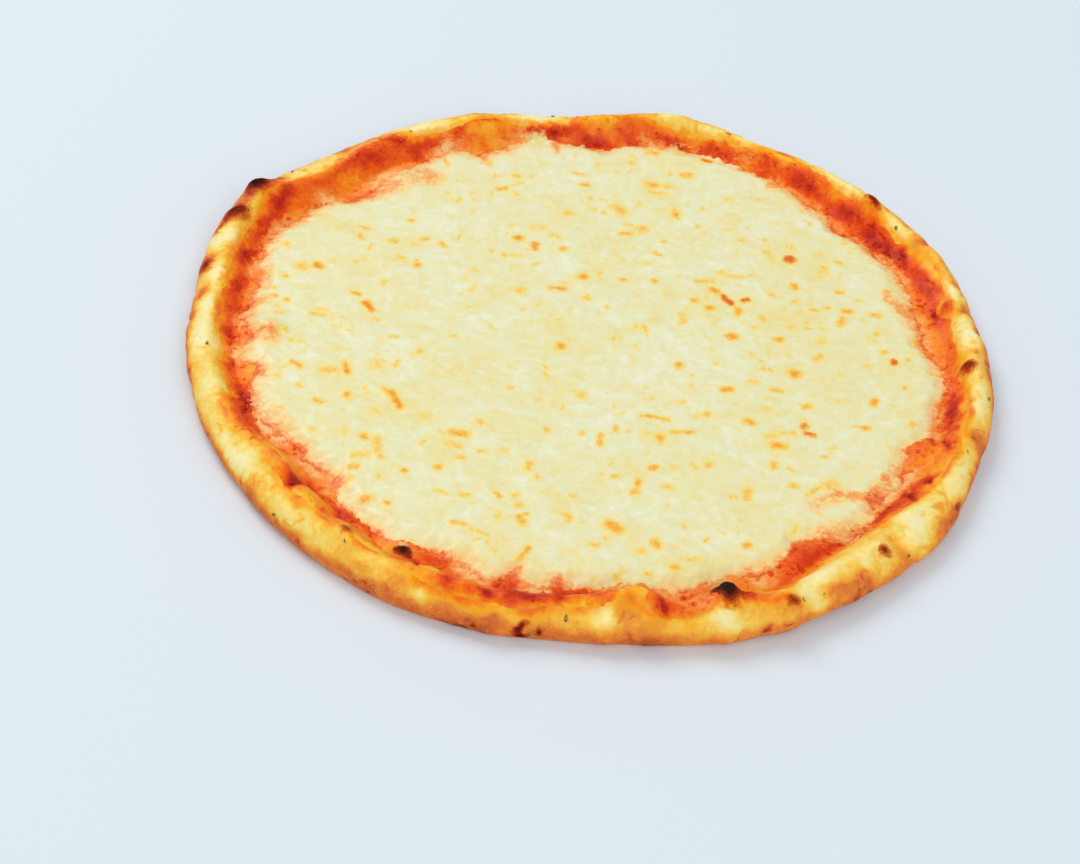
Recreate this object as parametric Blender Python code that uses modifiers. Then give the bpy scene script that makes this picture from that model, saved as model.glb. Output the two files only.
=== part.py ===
"""A whole margherita pizza: a dough crust with an uneven raised rim, tomato sauce and melted cheese.

The pizza rests on Z = 0 with its middle over the origin. The three layers are turned as round
profiles with the Screw modifier, and one shaping rule then makes them uneven together, so that
the gaps between the layers stay as they were turned. Angles are in degrees, anticlockwise from +X
as seen from above. The named sizes are in millimetres, and MM turns them into metres.
"""

import math
from typing import NamedTuple

import bmesh
import bpy

MM = 0.001
NAME = "margherita_pizza"

# Driving dimensions.
PIZZA_RADIUS = 150.5
RIM_HEIGHT = 13.2
DOUGH_FLOOR = 3.9
SAUCE_THICKNESS = 0.9
CHEESE_THICKNESS = 2.4
LAYER_GAP = 0.3

# Where the layers end, and where the rim stands, on the evenly round pizza.
CHEESE_RADIUS = 130.0
SAUCE_RADIUS = 140.5
CREST_RADIUS = 142.5
LEAST_SLOPE = 3.0
LEAST_CREST = 1.2
SLOPE_WIDTH = 10.5
WAIST_HEIGHT = 4.4
FOOT_RADIUS = 147.0
FLAT_UNDERSIDE_RADIUS = 124.0
EVEN_RADIUS = 96.0

# The thin outer edges of the two layers.
SAUCE_EDGE_THICKNESS = 0.4
CHEESE_EDGE_THICKNESS = 0.8

# How finely the profiles are divided.
TURN_STEPS = 112
WALL_POINTS = 5
FOOT_POINTS = 4
FLOOR_STATIONS = (0.0, 55.0, 98.0, 122.0)
SLOPE_STATIONS = (134.0, 137.0)
CHEESE_TOP_STATIONS = (0.0, 28.0, 55.0, 78.0, 98.0, 114.0, 122.0, 127.0)

# Slow waves in the cheese: turns per circle, start angle and height.
CHEESE_WAVES = ((3, 40.0, 0.22), (5, 115.0, 0.18), (8, 10.0, 0.12))


class Swell(NamedTuple):
    """A gentle change of one size round the pizza, as a bell curve over the angle."""

    angle: float
    rise: float
    spread: float


class Bump(NamedTuple):
    """A raised blister, or a dent where the rise is negative, on the upper side of the pizza."""

    angle: float
    radius: float
    rise: float
    along: float
    across: float


# The outline isn't quite round: it was stretched by hand, most of all at the back on the left.
OUTLINE_SWELLS = (
    Swell(30.0, 4.2, 9.0),
    Swell(43.0, -1.0, 3.0),
    Swell(55.0, 4.8, 11.0),
    Swell(80.0, 4.6, 7.0),
    Swell(120.0, 3.2, 9.0),
    Swell(138.0, 2.6, 10.0),
    Swell(159.0, 7.6, 11.0),
    Swell(214.0, -0.9, 10.0),
    Swell(246.0, 0.8, 4.0),
    Swell(268.0, -1.4, 5.0),
    Swell(277.0, -2.0, 7.0),
    Swell(299.0, 1.6, 4.5),
    Swell(325.0, 1.2, 7.0),
    Swell(342.0, -2.0, 7.0),
)

# The rim stands higher at its blisters and lower where it was pressed flat.
RIM_HEIGHT_SWELLS = (
    Swell(20.0, -1.2, 9.0),
    Swell(44.0, 1.2, 7.0),
    Swell(80.0, 1.6, 8.0),
    Swell(100.0, -1.4, 7.0),
    Swell(114.0, 1.8, 6.0),
    Swell(136.0, -1.0, 8.0),
    Swell(158.0, 2.2, 7.0),
    Swell(180.0, -1.4, 9.0),
    Swell(222.0, 1.0, 9.0),
    Swell(262.0, -0.8, 6.0),
    Swell(280.0, 1.4, 4.0),
    Swell(292.0, 1.8, 4.0),
    Swell(333.0, -1.2, 9.0),
)

# The crest of the rim wanders inwards where a flat strip of dough lies outside it.
CREST_SWELLS = (
    Swell(102.0, -3.0, 6.0),
    Swell(118.0, -4.5, 6.0),
    Swell(145.0, -6.5, 8.0),
    Swell(172.0, -2.0, 8.0),
    Swell(222.0, -3.0, 7.0),
    Swell(280.0, -2.4, 5.0),
    Swell(322.0, -5.0, 9.0),
)

# The edge of the sauce, which runs up the inner side of the rim.
SAUCE_SWELLS = (
    Swell(4.0, -2.6, 6.0),
    Swell(28.0, 4.5, 5.0),
    Swell(56.0, 6.0, 9.0),
    Swell(76.0, 2.0, 5.0),
    Swell(92.0, 6.0, 4.0),
    Swell(104.0, -2.5, 4.0),
    Swell(132.0, 7.0, 4.0),
    Swell(155.0, 5.6, 5.0),
    Swell(193.0, -3.5, 5.0),
    Swell(209.0, 2.0, 3.5),
    Swell(240.0, 1.2, 8.0),
    Swell(257.0, 5.5, 6.0),
    Swell(277.0, -1.5, 2.0),
    Swell(286.0, 6.0, 3.5),
    Swell(318.0, -8.5, 7.0),
    Swell(352.0, -1.0, 6.0),
)

# The edge of the cheese, which draws back from the rim in many places.
CHEESE_SWELLS = (
    Swell(2.0, 4.0, 4.0),
    Swell(10.0, -2.0, 4.0),
    Swell(33.0, 4.5, 6.0),
    Swell(44.0, -2.5, 2.5),
    Swell(68.0, 9.5, 14.0),
    Swell(92.0, -6.0, 3.0),
    Swell(104.0, 4.5, 6.0),
    Swell(122.0, 6.0, 4.0),
    Swell(141.0, -4.0, 5.0),
    Swell(160.0, 8.0, 8.0),
    Swell(187.0, -3.0, 2.0),
    Swell(197.0, -3.0, 3.0),
    Swell(222.0, -8.0, 6.0),
    Swell(243.0, 1.0, 4.0),
    Swell(251.0, -4.0, 3.0),
    Swell(263.0, -3.0, 3.0),
    Swell(280.0, -4.0, 4.0),
    Swell(295.0, -3.0, 3.0),
    Swell(310.0, -6.0, 4.0),
    Swell(341.0, -5.0, 4.0),
)

# The outer edge of the base curls up from the surface that it lies on.
UNDERSIDE_LIFTS = (
    Swell(87.0, 1.0, 4.0),
    Swell(198.0, 1.6, 11.0),
    Swell(306.0, 1.3, 8.0),
)

# The largest blisters, lumps and dents of the rim and of the bed inside it.
BUMPS = (
    Bump(2.3, 139.5, 2.2, 5.0, 3.6),
    Bump(31.0, 150.0, 1.2, 6.0, 3.0),
    Bump(43.8, 145.0, 2.2, 5.0, 3.8),
    Bump(80.0, 147.0, 1.4, 6.0, 3.5),
    Bump(113.5, 136.0, 2.6, 8.0, 5.0),
    Bump(135.0, 127.0, 1.6, 8.0, 5.0),
    Bump(155.0, 151.0, 2.0, 6.0, 4.0),
    Bump(162.0, 150.0, 1.2, 5.0, 4.0),
    Bump(187.5, 121.0, 1.5, 6.0, 5.0),
    Bump(196.5, 127.0, 1.0, 4.0, 3.5),
    Bump(222.0, 133.0, 2.6, 9.0, 5.0),
    Bump(226.0, 136.0, -1.2, 2.5, 6.0),
    Bump(238.0, 141.0, 1.4, 4.0, 3.5),
    Bump(245.0, 131.5, 2.0, 4.5, 3.5),
    Bump(250.0, 145.0, -1.0, 5.0, 3.0),
    Bump(265.0, 146.0, -1.2, 5.0, 4.0),
    Bump(275.0, 143.0, -1.8, 4.5, 4.0),
    Bump(279.5, 132.0, 3.2, 5.5, 6.0),
    Bump(285.5, 140.0, -2.6, 6.0, 4.5),
    Bump(293.5, 132.0, 4.0, 5.0, 5.0),
    Bump(300.5, 147.0, 1.0, 7.0, 3.5),
    Bump(309.5, 127.5, 2.8, 8.0, 5.0),
    Bump(317.5, 144.0, 1.0, 3.5, 3.0),
    Bump(321.0, 139.0, -1.6, 3.0, 6.0),
    Bump(327.0, 131.0, 1.2, 6.0, 3.0),
    Bump(342.5, 129.5, 2.8, 6.0, 5.0),
    Bump(346.5, 143.0, 1.2, 3.0, 5.0),
)


def swelling(swells, angle):
    """The sum of the swells at this angle, in millimetres."""
    total = 0.0
    for swell in swells:
        turned = (angle - swell.angle + 180.0) % 360.0 - 180.0
        total += swell.rise * math.exp(-0.5 * (turned / swell.spread) ** 2)
    return total


def smooth_step(value):
    """0 below 0, 1 above 1, and a smooth rise between them."""
    held = min(1.0, max(0.0, value))
    return held * held * (3.0 - 2.0 * held)


def interpolate(value, knots):
    """The height at value of straight lines through the (place, height) knots."""
    for (left, low), (right, high) in zip(knots, knots[1:]):
        if value <= right:
            return low + (high - low) * (value - left) / (right - left)
    return knots[-1][1]


def outline_radius(angle):
    """The pizza's outer radius at this angle."""
    return PIZZA_RADIUS + swelling(OUTLINE_SWELLS, angle)


def crest_radius(angle):
    """The radius of the highest line of the rim at this angle."""
    strip = PIZZA_RADIUS - CREST_RADIUS
    return outline_radius(angle) - strip + swelling(CREST_SWELLS, angle)


def even_bed_height(radius):
    """The height of the dough's upper side inside the crest, on the evenly round pizza."""
    along_slope = (radius - CREST_RADIUS + SLOPE_WIDTH) / SLOPE_WIDTH
    return DOUGH_FLOOR + (RIM_HEIGHT - DOUGH_FLOOR) * smooth_step(along_slope)


def bump_height(radius, angle):
    """What the blisters and dents add to the upper side at this place."""
    total = 0.0
    for bump in BUMPS:
        turned = math.radians((angle - bump.angle + 180.0) % 360.0 - 180.0)
        along = turned * bump.radius / bump.along
        across = (radius - bump.radius) / bump.across
        total += bump.rise * math.exp(-0.5 * (along * along + across * across))
    return total


def shaped_bed_height(radius, angle):
    """The height of the dough's upper side at a place of the uneven pizza."""
    crest = crest_radius(angle)
    rim_height = RIM_HEIGHT + swelling(RIM_HEIGHT_SWELLS, angle)
    along_slope = (radius - crest + SLOPE_WIDTH) / SLOPE_WIDTH
    slope = (rim_height - DOUGH_FLOOR) * smooth_step(along_slope)
    return DOUGH_FLOOR + slope + bump_height(radius, angle)


def shaped_radius(radius, angle):
    """Where a ring of the evenly round pizza goes at this angle.

    The cheese ends inside the sauce, and the sauce ends inside the crest, at every angle.
    """
    crest = crest_radius(angle)
    sauce = min(SAUCE_RADIUS + swelling(SAUCE_SWELLS, angle), crest - LEAST_CREST)
    cheese = min(CHEESE_RADIUS + swelling(CHEESE_SWELLS, angle), sauce - LEAST_SLOPE)
    knots = (
        (0.0, 0.0),
        (EVEN_RADIUS, EVEN_RADIUS),
        (CHEESE_RADIUS, cheese),
        (SAUCE_RADIUS, sauce),
        (CREST_RADIUS, crest),
        (PIZZA_RADIUS, outline_radius(angle)),
    )
    return interpolate(radius, knots)


def cheese_wave(radius, angle):
    """The slow unevenness of the cheese, which fades out at its middle and its edge."""
    fade = math.sin(math.pi * min(1.0, radius / CHEESE_RADIUS))
    total = 0.0
    for turns, start, height in CHEESE_WAVES:
        total += height * math.sin(math.radians(turns * (angle - start)))
    return fade * total


def shaped_point(radius, angle, height, wavy_above):
    """Where a point of the evenly round pizza goes: its radius and its height.

    Above wavy_above the point is on the cheese's upper side, which has waves of its own.
    """
    new_radius = shaped_radius(radius, angle)
    above_bed = height - even_bed_height(radius)
    if radius <= CREST_RADIUS and above_bed > -0.5 * DOUGH_FLOOR:
        new_height = shaped_bed_height(new_radius, angle) + above_bed
        if above_bed > wavy_above:
            new_height += cheese_wave(radius, angle)
        return new_radius, new_height
    share = height / RIM_HEIGHT
    rim_rise = swelling(RIM_HEIGHT_SWELLS, angle) + bump_height(new_radius, angle)
    curl = smooth_step((radius - FLAT_UNDERSIDE_RADIUS) / (PIZZA_RADIUS - FLAT_UNDERSIDE_RADIUS))
    lift = curl * swelling(UNDERSIDE_LIFTS, angle)
    return new_radius, height + share * rim_rise + (1.0 - share) * lift


def crust_profile():
    """The dough: its floor, the inner slope, the crest, the round outer wall and the underside."""
    rising = FLOOR_STATIONS + (CHEESE_RADIUS,) + SLOPE_STATIONS + (SAUCE_RADIUS, CREST_RADIUS)
    points = [(radius, even_bed_height(radius)) for radius in rising]
    for index in range(1, WALL_POINTS + 1):
        turn = math.radians(90.0 * index / WALL_POINTS)
        radius = CREST_RADIUS + (PIZZA_RADIUS - CREST_RADIUS) * math.sin(turn)
        points.append((radius, WAIST_HEIGHT + (RIM_HEIGHT - WAIST_HEIGHT) * math.cos(turn)))
    for index in range(1, FOOT_POINTS + 1):
        turn = math.radians(90.0 * index / FOOT_POINTS)
        radius = FOOT_RADIUS + (PIZZA_RADIUS - FOOT_RADIUS) * math.cos(turn)
        points.append((radius, WAIST_HEIGHT - WAIST_HEIGHT * math.sin(turn)))
    return points + [(FLAT_UNDERSIDE_RADIUS, 0.0), (0.0, 0.0)]


def sauce_profile():
    """The sauce: a thin layer that runs under the cheese and up the rim's inner slope."""
    stations = FLOOR_STATIONS + (CHEESE_RADIUS,) + SLOPE_STATIONS + (SAUCE_RADIUS,)
    lower = [(radius, even_bed_height(radius) + LAYER_GAP) for radius in stations]
    upper = [(radius, height + SAUCE_THICKNESS) for radius, height in lower[:-1]]
    edge_radius, edge_height = lower[-1]
    upper.append((edge_radius, edge_height + SAUCE_EDGE_THICKNESS))
    return upper + lower[::-1]


def cheese_profile():
    """The cheese: a layer with a soft edge, which lies on the sauce."""
    under = DOUGH_FLOOR + 2.0 * LAYER_GAP + SAUCE_THICKNESS
    upper = [(radius, under + CHEESE_THICKNESS) for radius in CHEESE_TOP_STATIONS]
    upper.append((CHEESE_RADIUS, under + CHEESE_EDGE_THICKNESS))
    lower = [(radius, under) for radius in FLOOR_STATIONS + (CHEESE_RADIUS,)]
    return upper + lower[::-1]


def outline_middle():
    """The middle of the box round the uneven outline, which becomes the origin."""
    across = []
    deep = []
    for index in range(TURN_STEPS):
        angle = 360.0 * index / TURN_STEPS
        radius = outline_radius(angle)
        across.append(radius * math.cos(math.radians(angle)))
        deep.append(radius * math.sin(math.radians(angle)))
    return 0.5 * (min(across) + max(across)), 0.5 * (min(deep) + max(deep))


def make_material(name, color, roughness, coat=0.0):
    """A plain finish with one colour."""
    material = bpy.data.materials.new(name)
    material.use_nodes = True
    shader = material.node_tree.nodes["Principled BSDF"]
    shader.inputs["Base Color"].default_value = (*color, 1.0)
    shader.inputs["Roughness"].default_value = roughness
    shader.inputs["Metallic"].default_value = 0.0
    shader.inputs["Coat Weight"].default_value = coat
    material.diffuse_color = (*color, 1.0)
    return material


def turn_profile(name, points):
    """A closed mesh, turned about Z from a profile that starts and ends on the axis."""
    outline = bpy.data.meshes.new(name + "_profile")
    corners = [(radius * MM, 0.0, height * MM) for radius, height in points]
    edges = [(index, index + 1) for index in range(len(points) - 1)]
    outline.from_pydata(corners, edges, [])
    profile = bpy.data.objects.new(name + "_profile", outline)
    bpy.context.scene.collection.objects.link(profile)
    screw = profile.modifiers.new("turn", "SCREW")
    screw.axis = "Z"
    screw.angle = math.tau
    screw.steps = TURN_STEPS
    screw.render_steps = TURN_STEPS
    screw.use_merge_vertices = True
    screw.merge_threshold = 0.0001
    graph = bpy.context.evaluated_depsgraph_get()
    turned = bpy.data.meshes.new_from_object(profile.evaluated_get(graph))
    turned.name = name
    bpy.data.objects.remove(profile, do_unlink=True)
    bpy.data.meshes.remove(outline)
    return turned


def make_uneven(mesh, middle, wavy_above):
    """Moves each point of a turned mesh to its place on the uneven pizza."""
    for vertex in mesh.vertices:
        radius = math.hypot(vertex.co.x, vertex.co.y) / MM
        angle = math.degrees(math.atan2(vertex.co.y, vertex.co.x)) % 360.0
        radius, height = shaped_point(radius, angle, vertex.co.z / MM, wavy_above)
        vertex.co.x = (radius * math.cos(math.radians(angle)) - middle[0]) * MM
        vertex.co.y = (radius * math.sin(math.radians(angle)) - middle[1]) * MM
        vertex.co.z = height * MM


def split_quads(mesh):
    """Splits each quad along its shorter diagonal, so that touching layers are faceted alike."""
    faces = bmesh.new()
    faces.from_mesh(mesh)
    bmesh.ops.triangulate(faces, faces=faces.faces, quad_method="SHORT_EDGE")
    faces.to_mesh(mesh)
    faces.free()


def add_layer(name, points, material, collection, middle, wavy_above=math.inf):
    """Turns one layer, makes it uneven and links it as a named object."""
    mesh = turn_profile(name, points)
    make_uneven(mesh, middle, wavy_above)
    split_quads(mesh)
    mesh.materials.clear()
    mesh.materials.append(material)
    mesh.shade_smooth()
    layer = bpy.data.objects.new(name, mesh)
    collection.objects.link(layer)
    return layer


def main():
    for leftover in list(bpy.data.objects):
        bpy.data.objects.remove(leftover, do_unlink=True)
    collection = bpy.data.collections.new(NAME)
    bpy.context.scene.collection.children.link(collection)

    baked_dough = make_material("baked_dough", (0.80, 0.52, 0.22), 0.55)
    cooked_tomato = make_material("cooked_tomato", (0.62, 0.09, 0.02), 0.35, coat=0.3)
    melted_curd = make_material("melted_curd", (0.84, 0.78, 0.50), 0.40, coat=0.2)

    middle = outline_middle()
    cheese_top = 2.0 * LAYER_GAP + SAUCE_THICKNESS + CHEESE_EDGE_THICKNESS
    add_layer("crust", crust_profile(), baked_dough, collection, middle)
    add_layer("tomato_sauce", sauce_profile(), cooked_tomato, collection, middle)
    add_layer("melted_cheese", cheese_profile(), melted_curd, collection, middle, cheese_top)


main()
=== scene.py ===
"""The dressed margherita pizza: baked dough, tomato sauce, melted cheese and what lies on them.

Each layer is a class that holds its sizes and builds a fine closed mesh over the plain solid that
it stands for. Sizes are in millimetres unless a name says otherwise, and MM turns them into metres.
Angles are in degrees, anticlockwise from +X as seen from above, and places on the pizza are given
by an angle and a radius round the middle from which the dough was stretched.
"""

import logging
import math
from dataclasses import dataclass
from enum import Enum, IntEnum
from functools import cache
from itertools import product
from typing import Any, NamedTuple, Sequence

import bpy
import numpy as np
from mathutils import Euler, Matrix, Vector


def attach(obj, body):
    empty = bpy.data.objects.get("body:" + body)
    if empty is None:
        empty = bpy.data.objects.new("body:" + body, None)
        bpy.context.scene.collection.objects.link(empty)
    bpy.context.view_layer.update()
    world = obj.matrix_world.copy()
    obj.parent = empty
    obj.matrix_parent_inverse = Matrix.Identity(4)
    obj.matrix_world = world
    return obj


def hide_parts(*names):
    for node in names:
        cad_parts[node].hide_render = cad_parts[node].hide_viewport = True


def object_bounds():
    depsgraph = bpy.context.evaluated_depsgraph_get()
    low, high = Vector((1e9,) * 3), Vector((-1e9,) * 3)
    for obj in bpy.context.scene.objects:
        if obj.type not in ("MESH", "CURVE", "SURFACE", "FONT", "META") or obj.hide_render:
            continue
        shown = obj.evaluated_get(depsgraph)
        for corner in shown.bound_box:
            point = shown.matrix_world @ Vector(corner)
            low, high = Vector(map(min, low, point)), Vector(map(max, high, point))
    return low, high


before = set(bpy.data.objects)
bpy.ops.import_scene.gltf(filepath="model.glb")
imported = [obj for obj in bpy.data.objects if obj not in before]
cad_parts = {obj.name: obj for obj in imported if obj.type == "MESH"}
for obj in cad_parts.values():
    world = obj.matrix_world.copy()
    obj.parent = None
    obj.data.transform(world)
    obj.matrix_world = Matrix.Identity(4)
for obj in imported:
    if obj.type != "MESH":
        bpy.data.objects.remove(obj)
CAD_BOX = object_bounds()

LOG = logging.getLogger("pizza")
MM = 0.001
# How far below the top of the plain solids' box the tallest lumps begin to be held down.
TOP_KNEE = 0.5
# The shares of a fold's length between which it comes to its full depth.
FOLD_ENDS = (0.08, 0.92)
# A shift round the pizza turns no place by more than it would at this radius.
LEAST_RADIUS = 20.0
BODY = "root"

Array = np.ndarray
Color = tuple[float, float, float]
Tint = tuple[int, int, int]
Stops = Sequence[tuple[float, Tint]]
Masks = dict[str, np.ndarray]


class Layer(Enum):
    """The CAD nodes, which are also the material slots, of the three layers."""

    DOUGH = "crust"
    SAUCE = "tomato_sauce"
    CHEESE = "melted_cheese"


class Seed(IntEnum):
    """Where each unevenness and each scattering starts, so that no two are alike."""

    SHREDS = 7
    FLECKS = 19
    SKIN = 20
    LUMP_PLACES = 41
    SCORCH = 44
    LUMP_SHAPES = 45
    HERBS = 52
    DOUGH_SPOTS = 60
    TAN = 71
    FOOT = 75
    BLEED = 87
    BLEED_REACH = 89
    SAUCE_EDGE = 101
    PULP = 111
    FINE_PULP = 121
    SAUCE_SPOTS = 130
    CROWD = 140
    CHEESE_EDGE = 150
    FINE_EDGE = 158
    MELT = 160
    CHEESE_SPOTS = 170
    FLECK_SHAPES = 180


class Swell(NamedTuple):
    """A gentle change of one size round the pizza, as a bell curve over the angle."""

    angle: float
    rise: float
    spread: float


class Patch(NamedTuple):
    """A soft oval at a place on the pizza: its strength, and its sizes round and across the rim.

    A turn tips it anticlockwise, away from lying round the rim.
    """

    angle: float
    radius: float
    strength: float
    along: float
    across: float
    turn: float = 0.0


class Crease(NamedTuple):
    """A fold between two places, with its width and its depth."""

    angle: float
    radius: float
    end_angle: float
    end_radius: float
    width: float
    depth: float


class Mark(NamedTuple):
    """A mark with round ends on the cheese, placed from the middle of the stretched dough.

    Its redness runs from 0, yellow, to 1, tomato red.
    """

    x: float
    y: float
    length: float
    width: float
    turn: float
    strength: float
    redness: float = 0.0


def rows_of(kind: type, *rows: tuple[float, ...]) -> tuple:
    """Makes an item of one kind from each row of numbers, in the order of its fields."""
    return tuple(kind(*row) for row in rows)


# The same shape as the plain solids: how far the dough was stretched, and how high it rose.
OUTLINE_SWELLS = rows_of(
    Swell,
    (30, 4.2, 9), (43, -1, 3), (55, 4.8, 11), (80, 4.6, 7), (120, 3.2, 9), (138, 2.6, 10), (159, 7.6, 11),
    (214, -0.9, 10), (246, 0.8, 4), (268, -1.4, 5), (277, -2, 7), (299, 1.6, 4.5), (325, 1.2, 7),
    (342, -2, 7),
)
RIM_HEIGHT_SWELLS = rows_of(
    Swell,
    (20, -1.2, 9), (44, 1.2, 7), (80, 1.6, 8), (100, -1.4, 7), (114, 1.8, 6), (136, -1, 8), (158, 2.2, 7),
    (180, -1.4, 9), (222, 1, 9), (262, -0.8, 6), (280, 1.4, 4), (292, 1.8, 4), (333, -1.2, 9),
)
CREST_SWELLS = rows_of(
    Swell,
    (102, -3, 6), (118, -4.5, 6), (145, -6.5, 8), (172, -2, 8), (222, -3, 7), (280, -2.4, 5),
    (322, -5, 9),
)
UNDERSIDE_LIFTS = rows_of(
    Swell,
    (87, 1, 4), (198, 1.6, 11), (306, 1.3, 8),
)
BUMPS = rows_of(
    Patch,
    (2.3, 139.5, 2.2, 5, 3.6), (31, 150, 1.2, 6, 3), (43.8, 145, 2.2, 5, 3.8), (80, 147, 1.4, 6, 3.5),
    (113.5, 136, 2.6, 8, 5), (135, 127, 1.6, 8, 5), (155, 151, 2, 6, 4), (162, 150, 1.2, 5, 4),
    (187.5, 121, 1.5, 6, 5), (196.5, 127, 1, 4, 3.5), (222, 133, 2.6, 9, 5), (226, 136, -1.2, 2.5, 6),
    (238, 141, 1.4, 4, 3.5), (245, 131.5, 2, 4.5, 3.5), (250, 145, -1, 5, 3), (265, 146, -1.2, 5, 4),
    (275, 143, -1.8, 4.5, 4), (279.5, 132, 3.2, 5.5, 6), (285.5, 140, -2.6, 6, 4.5),
    (293.5, 132, 4, 5, 5), (300.5, 147, 1, 7, 3.5), (309.5, 127.5, 2.8, 8, 5), (317.5, 144, 1, 3.5, 3),
    (321, 139, -1.6, 3, 6), (327, 131, 1.2, 6, 3), (342.5, 129.5, 2.8, 6, 5), (346.5, 143, 1.2, 3, 5),
)

# Sharper lumps that stand up out of the larger ones.
KNOBS = rows_of(
    Patch,
    (292.8, 136.4, 6.4, 2.8, 3.2), (293.4, 145.2, -2.4, 4, 3.2), (289.4, 134.4, 2.2, 1.7, 2.6),
    (295.8, 139.6, 1.8, 1.6, 3), (299.2, 145.6, 1.4, 3.4, 2.2), (280, 131, 3, 3.8, 4.4),
    (276.5, 136, 1, 3, 4), (309, 127.5, 1.1, 7, 4), (324.6, 139.6, 1.5, 4.6, 4.6),
    (316.4, 139, 0.8, 4, 4), (314.4, 129.6, 1.4, 2.2, 2.2), (342, 129, 1.2, 5, 4),
    (245.4, 131.6, 2.4, 3, 2.4), (1.8, 139, 1.5, 3, 2), (18, 140, 1.5, 2.8, 1.9),
    (43.4, 145.2, 0.8, 3.2, 1.4), (317.2, 143.8, 0.5, 1.8, 1.6), (219.6, 134.6, 1.6, 4.6, 2.4),
    (229.4, 134, 1.8, 3, 3), (237.4, 134.6, 2, 3.2, 3.2), (238.6, 140.6, 1.2, 2.2, 2.2),
    (251.4, 137.6, 0.9, 2.6, 3), (256.6, 139.6, 0.9, 2.4, 3), (272, 137, 0.9, 3.4, 3),
    (268.2, 141, 1.3, 2.2, 2), (262.6, 141.6, 1.1, 2.6, 2), (264.8, 136.4, 0.8, 2, 1.8),
    (234, 130, 0.9, 2.6, 1.4), (187.6, 119.6, 0.9, 4, 3), (197, 126.4, 0.8, 3.6, 2.8),
    (145.2, 123.6, 0.8, 4.4, 2.4), (132, 122, 1.1, 3.4, 5.4), (327.4, 123.4, 0.8, 2.8, 1.4),
)

# How far the outer wall swells out or is pinched in.
WALL_FORMS = rows_of(
    Patch,
    (155.4, 152.8, 2.2, 3.6, 3.4), (162.6, 151, 1, 3, 3), (275.4, 146, 0.9, 2.2, 4.5),
    (278.6, 145, -1.1, 2, 4), (281.4, 146.5, 0.7, 2.4, 4), (286, 146, -1.2, 4.4, 3),
    (291.6, 147, 0.8, 4, 3), (296.4, 146.5, -0.8, 1.7, 4), (299.4, 147.6, 1, 3.4, 2.4),
    (304, 146, -0.6, 2.6, 3.4), (310, 147, 0.5, 5, 3), (320.2, 145, -0.9, 1.7, 4.4),
    (267.6, 146, -0.7, 3.4, 3), (261, 147, 0.7, 4, 2.8), (255, 146.4, -0.6, 2.2, 3.4),
    (248.6, 147, 0.5, 4, 3), (241, 147, -0.7, 1.6, 3.6), (232, 146, 0.5, 5, 3.4),
    (198.4, 147, -0.5, 2, 4), (184.6, 147, -0.6, 1.7, 4), (346, 146, -0.6, 2, 4.4),
    (338, 146.6, 0.5, 4.4, 3.4), (16.6, 146, -0.7, 1.6, 4.4), (8, 146, 0.5, 4.6, 3.4),
    (32, 149, -0.7, 1.5, 4.4),
)

# Where the cheese and the sauce end: angle and radius.
CHEESE_EDGE = (
    (0, 133), (5, 132), (10, 128), (16, 130), (22, 131), (30, 135), (37, 134), (40, 134), (44, 130),
    (48, 134), (56, 137), (62, 139), (67, 140), (76, 140), (83, 139), (88, 136), (92, 130), (97, 134),
    (105, 136), (113, 131), (116, 129), (120, 136), (126, 133), (131, 131), (135, 129), (140, 126),
    (145, 128), (148, 134), (155, 136), (161, 139), (168, 135), (173, 131), (180, 131), (184, 132),
    (187, 127), (191, 132), (194, 130), (196, 126), (201, 130), (206, 131), (210, 129), (214, 126),
    (218, 122), (220, 126), (225, 121), (230, 127), (236, 129), (243, 131), (246, 128), (250, 126),
    (254, 127), (258, 131), (262, 126), (265, 129), (272, 127), (276, 128), (280, 125), (284, 128),
    (291, 129), (294, 126), (301, 128), (306, 126), (309, 122), (313, 126), (316, 131), (320, 130),
    (328, 127), (333, 128), (338, 126), (342, 124), (346, 129), (350, 131), (355, 131),
)
SAUCE_EDGE = (
    (0, 138), (8, 138), (14, 139), (20, 142), (26, 145), (30, 146), (36, 142), (43, 143), (50, 144),
    (57, 147), (64, 146), (69, 143), (80, 143), (86, 145), (92, 148), (97, 146), (99, 139), (108, 138),
    (114, 140), (120, 139), (126, 142), (130, 147), (135, 148), (139, 143), (145, 141), (151, 145),
    (156, 147), (162, 144), (171, 142), (178, 140), (186, 139), (192, 137), (198, 138), (203, 137),
    (206, 142), (212, 142), (218, 139), (224, 141), (230, 141), (246, 142), (253, 146), (262, 146),
    (267, 143), (274, 141), (277, 139), (280, 142), (285, 147), (290, 144), (297, 142), (303, 138),
    (308, 135), (314, 133), (320, 132), (324, 135), (330, 138), (338, 139), (345, 140), (352, 140),
)

# Where the dough shows through the sauce, as lumps that stand out of it.
BARE_DOUGH = rows_of(
    Patch,
    (279.6, 132.5, 1.2, 4.6, 6), (293.6, 137, 1.6, 4.4, 8.5), (219.5, 136, 0.9, 6, 3),
    (245.4, 131.6, 1.3, 3, 2.4), (238.6, 140.4, 0.8, 2.4, 2.8), (1.8, 138.8, 1.2, 3.2, 2.2),
    (18, 140.2, 1.5, 3.2, 2.2), (229.6, 135.4, 0.5, 4.4, 2.6), (131.6, 122, 0.5, 3, 4),
)

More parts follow.
